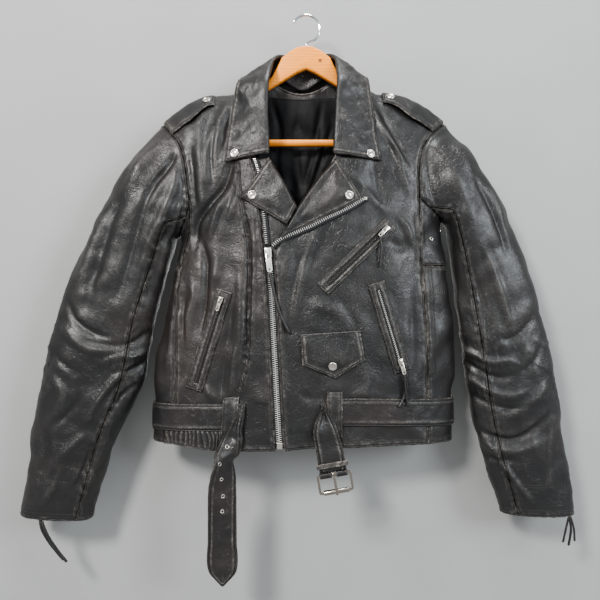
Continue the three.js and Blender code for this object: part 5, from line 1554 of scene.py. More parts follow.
def make_cuffs():
    """The stitched plackets at the outer edges of the cuffs and the cross seam of the left cuff."""
    left, right = SLEEVES["left"], SLEEVES["right"]
    cross = line_on(left, [(524, 489), (540, 489.5), (556, 489), (568, 488)])
    edge = line_on(left, [(567, 470), (568.5, 482), (569, 494), (568.5, 506)])
    inner = line_on(left, [(560, 470), (561.5, 482), (562, 494), (561.5, 506)])
    stitches("stitches_cuff_left", [cross, (cross[0] + [0, 0, 4.0], cross[1]), edge, inner])
    placket = line_on(right, [(38, 470), (36, 484), (34, 498), (32, 510)])
    stitches("stitches_cuff_right", [placket])


# ---------- zips ----------
TOOTH_LENGTH = 3.3
TOOTH_WIDTH = 1.1
TOOTH_HEIGHT = 1.7
OPEN_ROW_LIFT = 2.9  # of the row that lies on the edge of the lapel


def zip_strip(name, points, normals, width, node, grow, lift=0.0, closed=True, teeth="bright_nickel"):
    """A tape and its rows of teeth along a line; an open zip has one row."""
    down = unit(np.gradient(points, axis=0))
    side = unit(np.cross(down, normals))
    across = np.linspace(-0.5, 0.5, 7) * width
    grid = points[:, None] + side[:, None] * across[None, :, None] + normals[:, None] * (lift - 0.25)
    cloth = Cloth(grid, np.repeat(normals[:, None], 7, axis=1))
    finish_piece(shell(name + "_tape", cloth, 0.9, "tape"))
    reach = reach_along(points)
    pitch = sizes().tooth_pitch
    tooth, tooth_faces = stamped(TOOTH_LENGTH * grow, TOOTH_WIDTH, TOOTH_HEIGHT)
    verts, faces = [], []
    for k, row in enumerate((-1, 1) if closed else (1,)):
        at = np.arange(0.8 + 0.5 * pitch * (k if closed else 0), reach[-1] - 0.8, pitch)
        for distance in at:
            p = np.array([np.interp(distance, reach, points[:, a]) for a in range(3)])
            i = min(np.searchsorted(reach, distance), len(points) - 1)
            d, s, n = down[i], side[i], normals[i]
            centre = p + s * row * ((0.56 * grow if closed else 0.5) + TOOTH_LENGTH * grow / 6) + n * lift
            faces += [tuple(len(verts) + i for i in face) for face in tooth_faces]
            verts += list(centre + tooth @ np.stack([s * row, d, n]))
    piece = new_object(name + "_teeth", np.array(verts), faces, teeth, smooth=False)
    outward(piece)
    return finish_piece(piece, BODY, [node])


def zip_stop(name, point, normal, width=5.5, length=5.0, height=2.0):
    clamp = stamped(width, length, height, 0.35)
    return placed_copies(name, clamp, [(point, normal)], "nickel", smooth=False)


OPEN_ROW = [
    (365, 199), (354, 206), (341, 213), (326, 220), (311, 227.5), (299, 232.5), (289, 236.5), (280, 241),
    (273, 247),
]


def make_main_zip():
    """The closed chain below, and the rows of the opened halves above."""
    z = np.linspace(-400, -692, 110)
    points, normals = on_front(zip_x(z), z, -1.7)
    zip_strip("main_zip", points, normals, 17, "zip_chain", 1.5, lift=0.35)
    zip_stop("main_zip_box", *on_front(zip_x(-697.0), -697.0, -0.9), width=9.5, length=10, height=3.0)
    z = np.linspace(-246, -384, 60)
    points, normals = on_front(zip_x(z) + 0.4, z, -1.6)
    zip_strip("open_zip_right", points, normals, 9, "zip_row_right", 1.3, closed=False)
    line = route(chart_line(OPEN_ROW, -56))(np.linspace(0, 1, 70))
    points, normals = on_front(line[:, 0], line[:, 1], OPEN_ROW_LIFT)
    zip_strip("open_zip_left", points, normals, 8, "zip_row_left", 1.45, lift=0.3, closed=False)
    zip_stop("open_zip_stop", points[0], normals[0])


# ---------- collar ----------
COLLAR = [  # roll, free edge and neck seam, each x y z; None lies on the front
    ((-60, None, -240), (-129, None, -251), (-76, None, -240), 5),
    ((-62, None, -200), (-123, None, -200), (-76, None, -198), 5),
    ((-63, None, -160), (-118, None, -155), (-74, None, -158), 5),
    ((-62, -42, -122), (-113, -27, -124), (-70, -34, -121), 0),
    ((-57, -20, -88), (-111, -11, -112), (-69, -18, -98), 0),
    ((-51, -9, -73), (-108, 0, -110), (-67, -8, -89), 0),
    ((-42, 6, -64), (-98, 16, -114), (-63, 6, -88), 0),
    ((-26, 16, -64), (-68, 32, -128), (-42, 13, -98), 0),
    ((-3, 22, -66), (-5, 38, -136), (-5, 18, -116), 0),
    ((20, 16, -64), (58, 32, -126), (31, 13, -98), 0),
    ((39, 6, -63), (90, 16, -111), (60, 6, -88), 0),
    ((48, -9, -73), (98, 0, -106), (63, -8, -89), 0),
    ((51, -20, -88), (101, -11, -107), (62, -18, -98), 0),
    ((52, -42, -122), (102, -27, -122), (57, -36, -121), 0),
    ((49, None, -160), (105, None, -155), (58, None, -158), 6),
    ((47, None, -200), (110, None, -200), (60, None, -198), 5),
    ((45, None, -241), (118, None, -250), (60, None, -241), 5),
]
COLLAR_CLOTH = {}


def place_on(x, y, z, lift):
    """The point (x, y, z), or with no y the point that far above the front."""
    if y is not None:
        return np.array([x, y, z], float)
    point, normal = form(turn_at(x, z), z)
    return point + normal * lift


def collar_sections():
    """Points along the roll, the free edge and the neck seam of the collar."""
    rolls, edges, seams = [], [], []
    for roll, edge, seam, lift in COLLAR:
        for spot, target, height in ((roll, rolls, lift), (edge, edges, 4.4), (seam, seams, 1.7)):
            target.append(place_on(*spot, height))
    return np.array(rolls), np.array(edges), np.array(seams)


def make_collar():
    """The collar as one sheet from the neck seam over the roll to the free edge."""
    rolls, edges, seams = collar_sections()
    keys = shares_along((rolls + edges) / 2)
    pitch = sizes().mesh_pitch
    at = spaced(count(reach_along((rolls + edges) / 2)[-1] * 1.15, pitch * 0.85), 0.3)
    roll, edge, seam = (smooth_rows(keys, v, at) for v in (rolls, edges, seams))
    along = unit(np.gradient(roll, axis=0))
    out = unit(edge - roll)
    lift = unit(np.cross(out, along))
    ahead = np.where(roll[:, 1] < -30, -60, roll[:, 1] * 1.2)
    face = np.stack([roll[:, 0], ahead, np.full(len(at), 60.0)], axis=1)
    lift *= np.where((lift * face).sum(axis=1) < 0, -1, 1)[:, None]
    down = unit(seam - roll)
    reach = np.linalg.norm(edge - roll, axis=1)[:, None]
    control = np.array([
        seam - lift * 1.0,
        mix(seam, roll, 0.5) - lift * 2.4,
        roll - lift * 3.4 + down * 1.5,
        roll - out * 3.0 - lift * 1.4,
        roll - out * 3.4 + lift * 1.2,
        roll + lift * 3.9 + out * 1.0,
        roll + out * reach * 0.22 + lift * 5.0,
        roll + out * reach * 0.55 + lift * 4.4,
        roll + out * reach * 0.85 + lift * 2.0,
        edge + lift * 1.0,
    ])
    spans = np.linalg.norm(np.diff(control, axis=0), axis=-1).mean(axis=1)
    share = np.concatenate([[0], np.cumsum(spans)]) / spans.sum()
    total = count(spans.sum(), pitch * 0.8)
    across = mix(np.linspace(0, 1, total), spaced(total), 0.5)
    smooth = smooth_rows(share, control, across).transpose(1, 0, 2)
    side = np.where(across > 0.45, 1, -1)[None, :, None]
    flat = Cloth(smooth, np.repeat(lift[:, None], smooth.shape[1], axis=1) * side)
    fall = smooth_step(0.35, 0.6, across)[None, :]
    height = 0.9 * waves(smooth, 55, 91) + 0.5 * waves(smooth, 24, 92) + 0.9 * creases(smooth, 36, 93)
    height = height * (0.35 + 0.65 * fall)
    sheet_edge = flat.nearest(["right", "top", "bottom"])
    height += seam_profile(sheet_edge) + pucker(smooth, sheet_edge, 94, 0.4)
    cloth = Cloth(smooth + flat.n * height[..., None], flat.n)
    marks = leather_marks(cloth, height, ["right", "top", "bottom"], 1.0, 1.4)
    crown = hump(across - 0.42, 0.07)[None, :] * smooth_step(0.1, 0.9, waves(smooth, 40, 95))
    marks["wear"] = np.clip(marks["wear"] + 0.35 * crown, 0, 1)
    cloth_piece("collar_leather", ["collar"], smooth, cloth, sizes().leather, "leather", marks)
    stitches("stitches_collar", cloth.rows("right top bottom", STITCH, 9.0))
    COLLAR_CLOTH["collar"] = cloth


# ---------- lapels, pockets and flap ----------
def laid_grid(corners, rows, cols, bow, tip):
    """Smooth points of a piece laid on the front between corners a, b, c, d (x, z)."""
    a, b, c, d = (np.array(corner, float) for corner in corners)
    u, v = spaced(cols, 0.5)[None, :, None], spaced(rows, 0.5)[:, None, None]
    top, bottom = mix(a, b, u), mix(d, c, u)
    if tip is not None:
        tip = np.array(tip, float)
        bottom = np.where(u < 0.5, mix(d, tip, 2 * u), mix(tip, c, 2 * u - 1))
    way = d - a
    side = np.array([way[1], -way[0]]) / np.linalg.norm(way)
    return (1 - v) * top + v * bottom + side * bow * np.sin(np.pi * v) * (1 - u)


def laid_piece(name, node, corners, size, lift, material, seed, stitched, roll=0.0, bow=0.0, tip=None,
               puff=1.6):
    """A padded piece on the front; a roll lifts its first edge."""
    plane = laid_grid(corners, *panel_size(*size), bow, tip)
    smooth, normals = form(turn_at(plane[..., 0], plane[..., 1]), plane[..., 1])
    base = body_relief(smooth, normals)
    flat = Cloth(smooth, normals)
    inside = flat.nearest(ALL_EDGES)
    wall = sizes().leather
    height = base + lift + wall + puff * smooth_step(0, 22, inside)
    height += 0.7 * waves(smooth, 34, seed) + 0.8 * creases(smooth, 26, seed + 1)
    height += roll * hump(flat.edges["left"], 9) - 1.6 * roll * hump(flat.edges["left"], 2.6)
    seam = flat.nearest(stitched)
    height += seam_profile(seam) * 0.8 + pucker(smooth, seam, seed + 2, 0.35)
    cloth = Cloth(smooth + normals * height[..., None], normals)
    marks = leather_marks(cloth, height, stitched, 1.1, 1.4)
    cloth_piece(name, [node], smooth, cloth, wall, material, marks)
    return cloth


LAID = {}


def make_lapels():
    """Both lapels, folded back on the fronts."""
    LAID["lapel_right"] = laid_piece(
        "lapel_right_leather", "lapel_right", [(-58, -246), (-103, -309), (-30, -352), (-15, -322)],
        (62, 90), 1.6, "leather_faded", 111, ["right", "top", "bottom"], roll=3.6, bow=-2, puff=2.4)
    # its first edge is the roll, from the collar down to the tip
    LAID["lapel_left"] = laid_piece(
        "lapel_left_leather", "lapel_left", [(47, -246), (88, -312), (-38, -374), (-38, -368)],
        (80, 150), 1.6, "leather_faded", 121, ["right", "top", "bottom"], roll=4.0, bow=6, puff=2.6)
    for name, cloth in list(LAID.items()):
        stitches("stitches_" + name, cloth.rows("top right bottom", STITCH, 8.5))


WELT_LIFT = 0.7


def make_pockets():
    """Welts and zips of three pockets, and the pocket with a flap."""
    for name, (start, stop, welt) in POCKETS.items():
        start, stop = np.array(start, float), np.array(stop, float)
        length = np.linalg.norm(stop - start)
        way = (stop - start) / length
        side = np.array([-way[1], way[0]])
        rows, cols = count(length, 2.2), count(welt, 1.2)
        v, u = spaced(rows, 0.5)[:, None, None], np.linspace(-0.5, 0.5, cols)[None, :, None]
        plane = start + way * length * v + side * welt * u
        smooth, normals = form(turn_at(plane[..., 0], plane[..., 1]), plane[..., 1])
        flat = Cloth(smooth, normals)
        edge = flat.nearest(ALL_EDGES)
        from_middle = np.abs(u[..., 0]) * welt
        ends = np.minimum(flat.edges["top"], flat.edges["bottom"])
        slot = np.clip(smooth_step(3.0, 4.6, from_middle) + smooth_step(13, 10.5, ends), 0, 1)
        height = body_relief(smooth, normals) + WELT_LIFT + 1.5 + 0.7 * slot - 1.3 * (1 - slot)
        height += 0.8 * hump(from_middle - 6.2, 1.8) * slot - 0.9 * hump(edge, 1.2)
        height += pucker(smooth, edge, 140, 0.35)
        cloth = Cloth(smooth + normals * height[..., None], normals)
        marks = leather_marks(cloth, height, ALL_EDGES, 0.9)
        marks["wear"] = np.clip(marks["wear"] + 0.5 * hump(from_middle - 5.4, 1.2) * slot, 0, 1)
        cloth_piece(f"welt_{name}_leather", [f"welt_{name}"], smooth, cloth, 1.5, "leather", marks)
        lines = cloth.rows("left right top bottom", 1.8) + cloth.rows("left right", 5.6)
        stitches(f"stitches_welt_{name}", lines)
        shares = np.linspace(12 / length, 1 - 12 / length, 70)[:, None]
        line = start + way * length * shares
        points, ups = on_front(line[:, 0], line[:, 1], WELT_LIFT + 1.2)
        zip_strip(f"pocket_zip_{name}_run", points, ups, 7.4, f"pocket_zip_{name}", 0.62,
                  teeth="bright_nickel" if name == "lower_left" else "aged_nickel")
    flap = laid_piece("pocket_flap_leather", "pocket_flap",
                      [(-9, -526), (84, -520), (91, -563), (-6, -571)],
                      (95, 62), 2.4, "leather_cool", 131, ["left", "right", "bottom"], tip=(45, -592),
                      puff=2.0)
    LAID["flap"] = flap
    stitches("stitches_flap", flap.rows("left right bottom", STITCH, 9.5))
    # the piping over the flap
    points, normals = on_front(np.linspace(-11, 86, 60), np.linspace(-525, -519, 60), 3.4)
    welt_cord("flap_piping", points, normals, 1.9)


def welt_cord(name, points, normals, radius):
    """A round edge of leather along a line."""
    sides = 10
    down = unit(np.gradient(points, axis=0))
    side = unit(np.cross(down, normals))
    taper = np.clip(np.minimum(np.arange(len(points)), np.arange(len(points))[::-1]) / 2.0, 0.25, 1) ** 0.5
    angles = np.arange(sides) * TURN / sides
    rings = (points[:, None]
             + side[:, None] * (np.cos(angles) * radius)[None, :, None] * taper[:, None, None]
             + normals[:, None] * (np.sin(angles) * radius * 0.8)[None, :, None] * taper[:, None, None])
    verts = rings.reshape(-1, 3)
    faces = tube_faces(len(points), sides)
    marks = {"wear": np.full(len(verts), 0.3), "seam": np.full(len(verts), FAR)}
    piece = new_object(name, verts, faces, "leather", marks)
    outward(piece)
    return finish_piece(piece)


# ---------- epaulettes ----------
EPAULETTE_INNER = {"right": -148, "left": 124}


def make_epaulettes():
    """Straps from each armhole seam toward the collar, folded over the shoulder."""
    for side, inner in EPAULETTE_INNER.items():
        flip = FLIP[side]
        seam_x_line, seam_z_line = seam_line(ARMHOLES[side])(np.linspace(0, 1, 200))
        seam_drop = shoulder(seam_x_line) - seam_z_line

        def outer_at(depth):
            return seam_x_line[np.argmax(seam_drop >= depth)] - flip * 1.5

        rows, cols = count(88, 2.2), 26
        s = spaced(rows, 0.4)
        share = spaced(cols, 0.4)
        width = mix(21, 36, smooth_step(0.05, 0.6, s))
        behind = mix(2, 5, np.minimum(s * 3, 1))
        grid, ups = np.zeros((rows, cols, 3)), np.zeros((rows, cols, 3))
        split = 0.82
        for j, t in enumerate(share):
            front = t <= split
            for i in range(rows):
                depth = width[i] * (1 - t / split) if front else behind[i] * (t - split) / (1 - split)
                x = mix(inner, outer_at(depth if front else 0.0), s[i])
                z = shoulder(x) - depth - TOP_GAP
                turn = turn_at(x, z)
                lift = 1.2 + 2.2 * math.sin(math.pi * s[i]) + sizes().leather
                lift += 2.6 * (1 - t) ** 3 * math.sin(math.pi * min(1.0, 0.25 + 0.6 * s[i]))
                p, n = form(turn if front else flip * math.pi - turn, z)
                grid[i, j], ups[i, j] = p + n * lift, n
        grid = blurred_across(grid)
        flat = Cloth(grid, ups)
        inside = flat.nearest(["left", "top", "bottom"])
        height = 0.8 * smooth_step(0, 8, inside) + 0.4 * waves(grid, 22, 151) + 0.5 * creases(grid, 22, 152)
        height += seam_profile(inside) * 0.8
        cloth = Cloth(grid + flat.n * height[..., None], flat.n)
        marks = leather_marks(cloth, height, ["left", "top", "bottom", "right"], 1.1)
        marks["wear"] = np.clip(marks["wear"] + 0.6 * hump(flat.edges["bottom"], 7), 0, 1)
        cloth_piece(f"epaulette_{side}_leather", [f"epaulette_{side}"], grid, cloth, sizes().leather,
                    "leather", marks)
        stitches(f"stitches_epaulette_{side}", cloth.rows("left top bottom right", STITCH)
                 + cloth.rows("bottom", 8))
        x = inner + flip * 13
        LAID[f"epaulette_{side}"] = cloth
        near, up = near_on(cloth, x, float(shoulder(x)) - 7)
        SNAP_PLACES[f"snap_epaulette_{side}"] = (near, up)


def blurred_across(grid):
    """Softens a grid of points along its rows."""
    inner = grid.copy()
    for _ in range(2):
        inner[:, 1:-1] = (grid[:, :-2] + 2 * grid[:, 1:-1] + grid[:, 2:]) / 4
        grid = inner.copy()
    return grid


# ---------- belt ----------
BELT_LIFT = 1.1
LOOP_LIFT = 4.0
TAIL_LIFT = 6.3
BELT_ENDS = {"right": -104, "left": 32}


def belt_marks(cloth, seam, seed):
    """Wear of the belt, on its edges, stitches and creases."""
    wear = 0.55 * hump(seam, 1.4) + 0.7 * hump(seam - 6.4, 1.0)
    wear += 0.5 * creases(cloth.p, 20, seed) * smooth_step(0.4, 1.2, waves(cloth.p, 60, seed + 1))
    return {"wear": np.clip(wear, 0, 1), "seam": seam}


def belt_profile(seam):
    """A rolled edge, the stitched channel and a low ridge inside it."""
    return -1.1 * hump(seam, 1.2) - 0.7 * hump(seam - STITCH, 0.9) + 0.75 * hump(seam - 6.2, 1.7)


def make_belt():
    """The belt round the body, its loops and both its ends."""
    mid = -650.0
    start, stop = float(turn_at(BELT_ENDS["right"], mid)), float(turn_at(BELT_ENDS["left"], mid)) - TURN
    cols = count(1000, 3.0)
    turn = np.linspace(start, stop, cols)[None, :]
    share = spaced(24, 0.6)[:, None]
    x = middle(mid) + half_width(mid) * np.sin(turn)
    z = BELT_TOP(x) - share * BELT_WIDTH
    smooth, normals = form(*np.broadcast_arrays(turn, z))
    flat = Cloth(smooth, normals)
    seam = flat.nearest(["top", "bottom"])
    height = body_relief(smooth, normals) + BELT_LIFT + sizes().belt + belt_profile(seam)
    height += 0.5 * waves(smooth * [1, 1, 0.5], 70, 161) + 0.25 * waves(smooth, 20, 162)
    cloth = Cloth(smooth + normals * height[..., None], normals)
    cloth_piece("belt_leather", ["belt"], smooth, cloth, sizes().belt, "leather_faded",
                belt_marks(cloth, seam, 163))
    stitches("stitches_belt", cloth.rows("top bottom", STITCH))
    for name, low, high in (("right", -130, -106), ("left", 32, 56)):
        make_loop(name, low, high)
    make_tail()
    make_buckle_end()
    make_keeper()


def make_loop(side, low, high):
    """A belt loop between two x places."""
    head = float(BELT_TOP((low + high) / 2))
    foot = -BELT_WIDTH
    rows = [(11, 0.6), (9, 0.9), (6.5, 2.2), (3.2, LOOP_LIFT + 0.3), (foot / 2, LOOP_LIFT + 0.9),
            (foot - 3.5, LOOP_LIFT + 0.3), (foot - 8, 2.2), (foot - 12, 0.9), (foot - 17, 0.6)]
    place = route(rows)(np.linspace(0, 1, 44))
    x = mix(low, high, spaced(15, 0.6))
    skew = (2.5 if side == "right" else 0.0) * place[:, :1] / BELT_WIDTH
    xs = x[None, :] + skew
    z = np.broadcast_to(head + place[:, :1], xs.shape)
    smooth, normals = form(turn_at(xs, z), z)
    flat = Cloth(smooth, normals)
    edge = flat.nearest(ALL_EDGES)
    height = body_relief(smooth, normals) + place[:, 1:2] + sizes().leather
    height = height - 0.9 * hump(edge, 1.2) + 0.3 * waves(smooth, 16, 171)
    cloth = Cloth(smooth + normals * height[..., None], normals)
    marks = leather_marks(cloth, height, ["left", "right"], 1.1)
    name = f"belt_loop_{side}"
    cloth_piece(name + "_leather", [name], smooth, cloth, sizes().leather, "leather", marks)
    stitches(f"stitches_belt_loop_{side}", cloth.rows("left right", 2.4) + cloth.rows("top bottom", 4))


def ribbon(rows, total, cols):
    """A smooth strap down rows of (x, y or None, z, half, lift or turn of its face, lean)."""
    centres, across, normals = [], [], []
    for x, y, z, half, extra, lean in rows:
        if y is None:
            p, n = form(turn_at(x, z), z)
            centres.append(p + n * (extra + sizes().belt))
            way = np.array([1, 0, lean], float)
            way = unit(way - n * (way @ n))
        else:
            yaw = math.radians(extra)
            n = np.array([math.sin(yaw), -math.cos(yaw), 0])
            centres.append(np.array([x, y, z], float))
            way = unit(np.array([math.cos(yaw), math.sin(yaw), lean]))
        across.append(way * half)
        normals.append(n)
    centres, across, normals = np.array(centres), np.array(across), np.array(normals)
    keys = shares_along(centres)
    at = np.linspace(0, 1, total)
    c, a, n = (smooth_rows(keys, v, at) for v in (centres, across, normals))
    u = mix(-1, 1, spaced(cols, 0.6))[None, :, None]
    return c[:, None] + a[:, None] * u, np.repeat(unit(n)[:, None], cols, axis=1), u[..., 0]


TAIL = [
    (-99, None, -630, 3, BELT_LIFT + 1, 0), (-99.5, None, -638, 4.2, TAIL_LIFT, 0),
    (-104, None, -649, 8.5, TAIL_LIFT, 0), (-111, None, -668, 12.5, TAIL_LIFT + 1, 0),
    (-116, None, -690, 17.5, TAIL_LIFT + 3, 0), (-121, -75, -706, 21, 26, 0),
    (-125.5, -74, -722, 22, 54, 0), (-128, -70, -742, 22, 38, 0),
    (-130, -66, -770, 22, 18, 0), (-131, -63, -802, 22.2, 6, 0),
    (-131.4, -61, -846, 22.4, 0, 0), (-131.4, -59, -893, 22.2, 0, 0),
    (-131, -58, -917, 2.5, 0, 0),
]


def make_tail():
    """The punched end of the belt, twisted down out of its loop."""
    grid, ups, u = ribbon(TAIL, 150, 30)
    flat = Cloth(grid, ups)
    seam = flat.nearest(["left", "right", "bottom"])
    z = grid[..., 2]
    bow = 1.6 * (1 - u ** 2) * smooth_step(-690, -730, z)
    pleat = -1.6 * np.cos(u * 5.2) * smooth_step(-715, -650, z) * smooth_step(-632, -645, z)
    height = belt_profile(seam) + bow + pleat
    height += 0.8 * waves(grid * [0.6, 1, 1], 52, 181) + 0.3 * waves(grid, 18, 182)
    height += 0.8 * creases(grid * [0.4, 1, 1.2], 30, 183) * smooth_step(-780, -700, z)
    cloth = Cloth(grid + flat.n * height[..., None], flat.n)
    cloth_piece("belt_tail_leather", ["belt_tail"], grid, cloth, sizes().belt, "leather",
                belt_marks(cloth, seam, 184))
    stitches("stitches_belt_tail", cloth.rows("left right", STITCH))
    spots = [(227.8, 446), (221.5, 461), (222.4, 477.8), (223, 496), (222, 512)]
    places = []
    for a, b in spots:
        x, z = chart(a, b, -66)
        places.append(near_on(cloth, float(x), float(z)))
    make_eyelets("belt_eyelets", places, 2.5)


BUCKLE_AT = np.array([42.0, -74.0, -737.0])
BUCKLE_LEAN = 0.17
BUCKLE_DOWN = np.array([BUCKLE_LEAN, 0, -math.sqrt(1 - BUCKLE_LEAN ** 2)])
BUCKLE_ACROSS = np.array([math.sqrt(1 - BUCKLE_LEAN ** 2), 0, BUCKLE_LEAN])
BAR_REACH = 5.2  # mm from the middle of the bar to the outside of the leather round it


def make_buckle_end():
    """The end that holds the buckle, and its fold round the bar."""
    end = BUCKLE_AT - BUCKLE_DOWN * BAR_REACH
    rows = [
        (26.5, None, -629, 3, BELT_LIFT + 1, 0), (26.5, None, -637, 4, TAIL_LIFT, 0),
        (27.5, None, -647, 9, TAIL_LIFT, 0), (28, None, -659, 15, TAIL_LIFT + 1, 0),
        (29.5, None, -673, 19, TAIL_LIFT + 2, 0), (33, None, -690, 20.5, TAIL_LIFT + 3, 0),
        (37, end[1] - 1.3, -708, 21, 0, BUCKLE_LEAN),
        (float(end[0]), end[1] - 1.8, float(end[2]), 21, 0, BUCKLE_LEAN),
    ]
    grid, ups, u = ribbon(rows, 70, 30)
    flat = Cloth(grid, ups)
    seam = flat.nearest(["left", "right"])
    z = grid[..., 2]
    pleat = -2.0 * np.cos(u * 6.0 + 0.6) * smooth_step(-690, -640, z) * smooth_step(-630, -640, z)
    height = belt_profile(seam) + pleat
    height += 0.7 * (waves(grid, 40, 191) + creases(grid, 24, 192)) * smooth_step(-728, -700, z)
    cloth = Cloth(grid + flat.n * height[..., None], flat.n)
    # the end goes round the buckle's bar as a tube, open in the middle for the tongue
    cloth_piece("belt_buckle_end_leather", ["belt_buckle_end"], grid, cloth, sizes().belt, "leather",
                belt_marks(cloth, seam, 193))
    stitches("stitches_buckle_end", cloth.rows("left right", STITCH) + cloth.rows("bottom", 9))
    for k, (low, high) in enumerate(((-21, -4.2), (4.2, 21))):
        angles = np.linspace(math.radians(-35), math.radians(215), 26)
        spans = mix(low, high, spaced(10, 0.6))
        out = np.array([0.0, -1.0, 0.0])
        ring = (np.cos(angles)[:, None] * out + np.sin(angles)[:, None] * BUCKLE_DOWN)
        points = BUCKLE_AT + ring[:, None] * BAR_REACH + BUCKLE_ACROSS * spans[None, :, None]
        cloth = Cloth(points, np.repeat(ring[:, None], 10, axis=1))
        edge = cloth.nearest(["left", "right"])
        marks = {"wear": 0.4 * hump(edge, 1.5), "seam": edge + 5}
        piece = shell(f"buckle_fold_{k}", cloth, 2.2, "leather", marks)
        finish_piece(piece)


def make_keeper():
    """The narrow keeper round the buckle end."""
    centre = BUCKLE_AT - BUCKLE_DOWN * 15 + np.array([0, -1.5, 0])
    out = np.array([0.0, -1.0, 0.0])
    angles = np.linspace(0, TURN, 61)
    wide, deep = 24.4, 4.6
    ring = (BUCKLE_ACROSS * wide * squared(np.cos(angles), 0.3)[:, None]
            + out * deep * squared(np.sin(angles), 0.5)[:, None])
    rows = mix(-3.4, 3.4, spaced(8, 0.6))
    points = centre + ring[None, :] + BUCKLE_DOWN * rows[:, None, None]
    cloth = Cloth(points, np.repeat(unit(ring)[None, :], 8, axis=0))
    edge = cloth.nearest(["top", "bottom"])
    piece = shell("belt_keeper_leather", cloth, 1.6, "leather",
                  {"wear": 0.55 + 0.4 * hump(edge, 1.2), "seam": edge + 5})
    finish_piece(piece, BODY, ["belt_keeper"])
    around, area = cut_of(points)
    max(around[1], LEAST_SIDE)


# ---------- hard pieces ----------
SNAP_PLACES = {}
SNAP_RADIUS = 7.2


def copy_of(node, name, material, body=BODY, bevel=0.0, segments=3, angle=35):
    """A copy of a solid with its edges rounded."""
    source = bpy.data.objects[node]
    mesh = source.data.copy()
    mesh.name = name
    mesh.transform(source.matrix_world)
    work = bmesh.new()
    work.from_mesh(mesh)
    bmesh.ops.remove_doubles(work, verts=work.verts, dist=2e-5)
    bmesh.ops.recalc_face_normals(work, faces=work.faces)
    bmesh.ops.dissolve_limit(work, angle_limit=math.radians(1.5), verts=work.verts, edges=work.edges)
    work.to_mesh(mesh)
    work.free()
    mesh.materials.clear()
    mesh.materials.append(MATERIALS[material])
    piece = bpy.data.objects.new(name, mesh)
    bpy.context.scene.collection.objects.link(piece)
    if bevel:
        modifier = piece.modifiers.new("edges", "BEVEL")
        modifier.width = bevel * MM
        modifier.segments = segments
        modifier.limit_method = "ANGLE"
        modifier.angle_limit = math.radians(angle)
        modifier.harden_normals = False
    bpy.ops.object.select_all(action="DESELECT")
    piece.select_set(True)
    bpy.context.view_layer.objects.active = piece
    if bevel:
        bpy.ops.object.modifier_apply(modifier="edges")
    bpy.ops.object.shade_smooth_by_angle(angle=math.radians(32))
    finish_piece(piece, body, [node])
    return piece


def make_pulls():
    """Sliders and tabs of all zips."""
    for name in ("main", "chest", "lower_left", "lower_right"):
        metal = "bright_nickel" if name == "main" else "nickel"
        copy_of(f"slider_{name}", f"zip_slider_{name}", metal, BODY, 0.35, 2)
        copy_of(f"tab_{name}", f"zip_tab_{name}", metal, name + "_tab", 0.25, 2)


def make_buckle():
    copy_of("buckle_frame", "buckle_frame_nickel", "aged_nickel", "frame", 0.9, 4)
    copy_of("buckle_roller", "buckle_roller_nickel", "aged_nickel", "roller", 0.3, 2)
    copy_of("buckle_tongue", "buckle_tongue_nickel", "aged_nickel", "tongue", 0.5, 3)


def make_snaps():
    """Caps on collar, lapels, epaulettes and flap."""
    places = {
        "snap_collar_right": near_on(COLLAR_CLOTH["collar"], -113, -238),
        "snap_collar_left": near_on(COLLAR_CLOTH["collar"], 101, -240),
        "snap_lapel_right": near_on(LAID["lapel_right"], -85, -305),
        "snap_lapel_left": near_on(LAID["lapel_left"], 67, -306),
        "snap_flap": near_on(LAID["flap"], 41, -573), **SNAP_PLACES,
    }
    rings = [(0.8, -0.6), (0.96, -0.1), (1.0, 0.7), (0.95, 1.45), (0.86, 1.95), (0.74, 2.05),
             (0.62, 1.75), (0.5, 1.15), (0.4, 1.2), (0.28, 1.45), (0.1, 1.5)]
    cap = pressed([(SNAP_RADIUS * share, height) for share, height in rings], 36)
    for name, (point, normal) in places.items():
        placed_copies(name + "_cap", cap, [(point, normal)], "nickel", [name])


def make_hanger():
    copy_of("hanger_wood", "hanger_wood_maple", "maple", BODY, 1.1, 3, 20)
    copy_of("hanger_bar", "hanger_bar_maple", "maple", BODY, 0.8, 3)
    copy_of("hanger_hook", "hanger_hook_chrome", "chrome", BODY, 0.5, 2, 60)
    verts, faces = pressed([(4.4, -2.4), (4.4, -0.4), (4.0, 0.6), (3.2, 1.2)], 24)
    piece = new_object("hook_ferrule", verts + np.array([0, -1.5, -49.2]), faces, "chrome")
    outward(piece)
    finish_piece(piece)


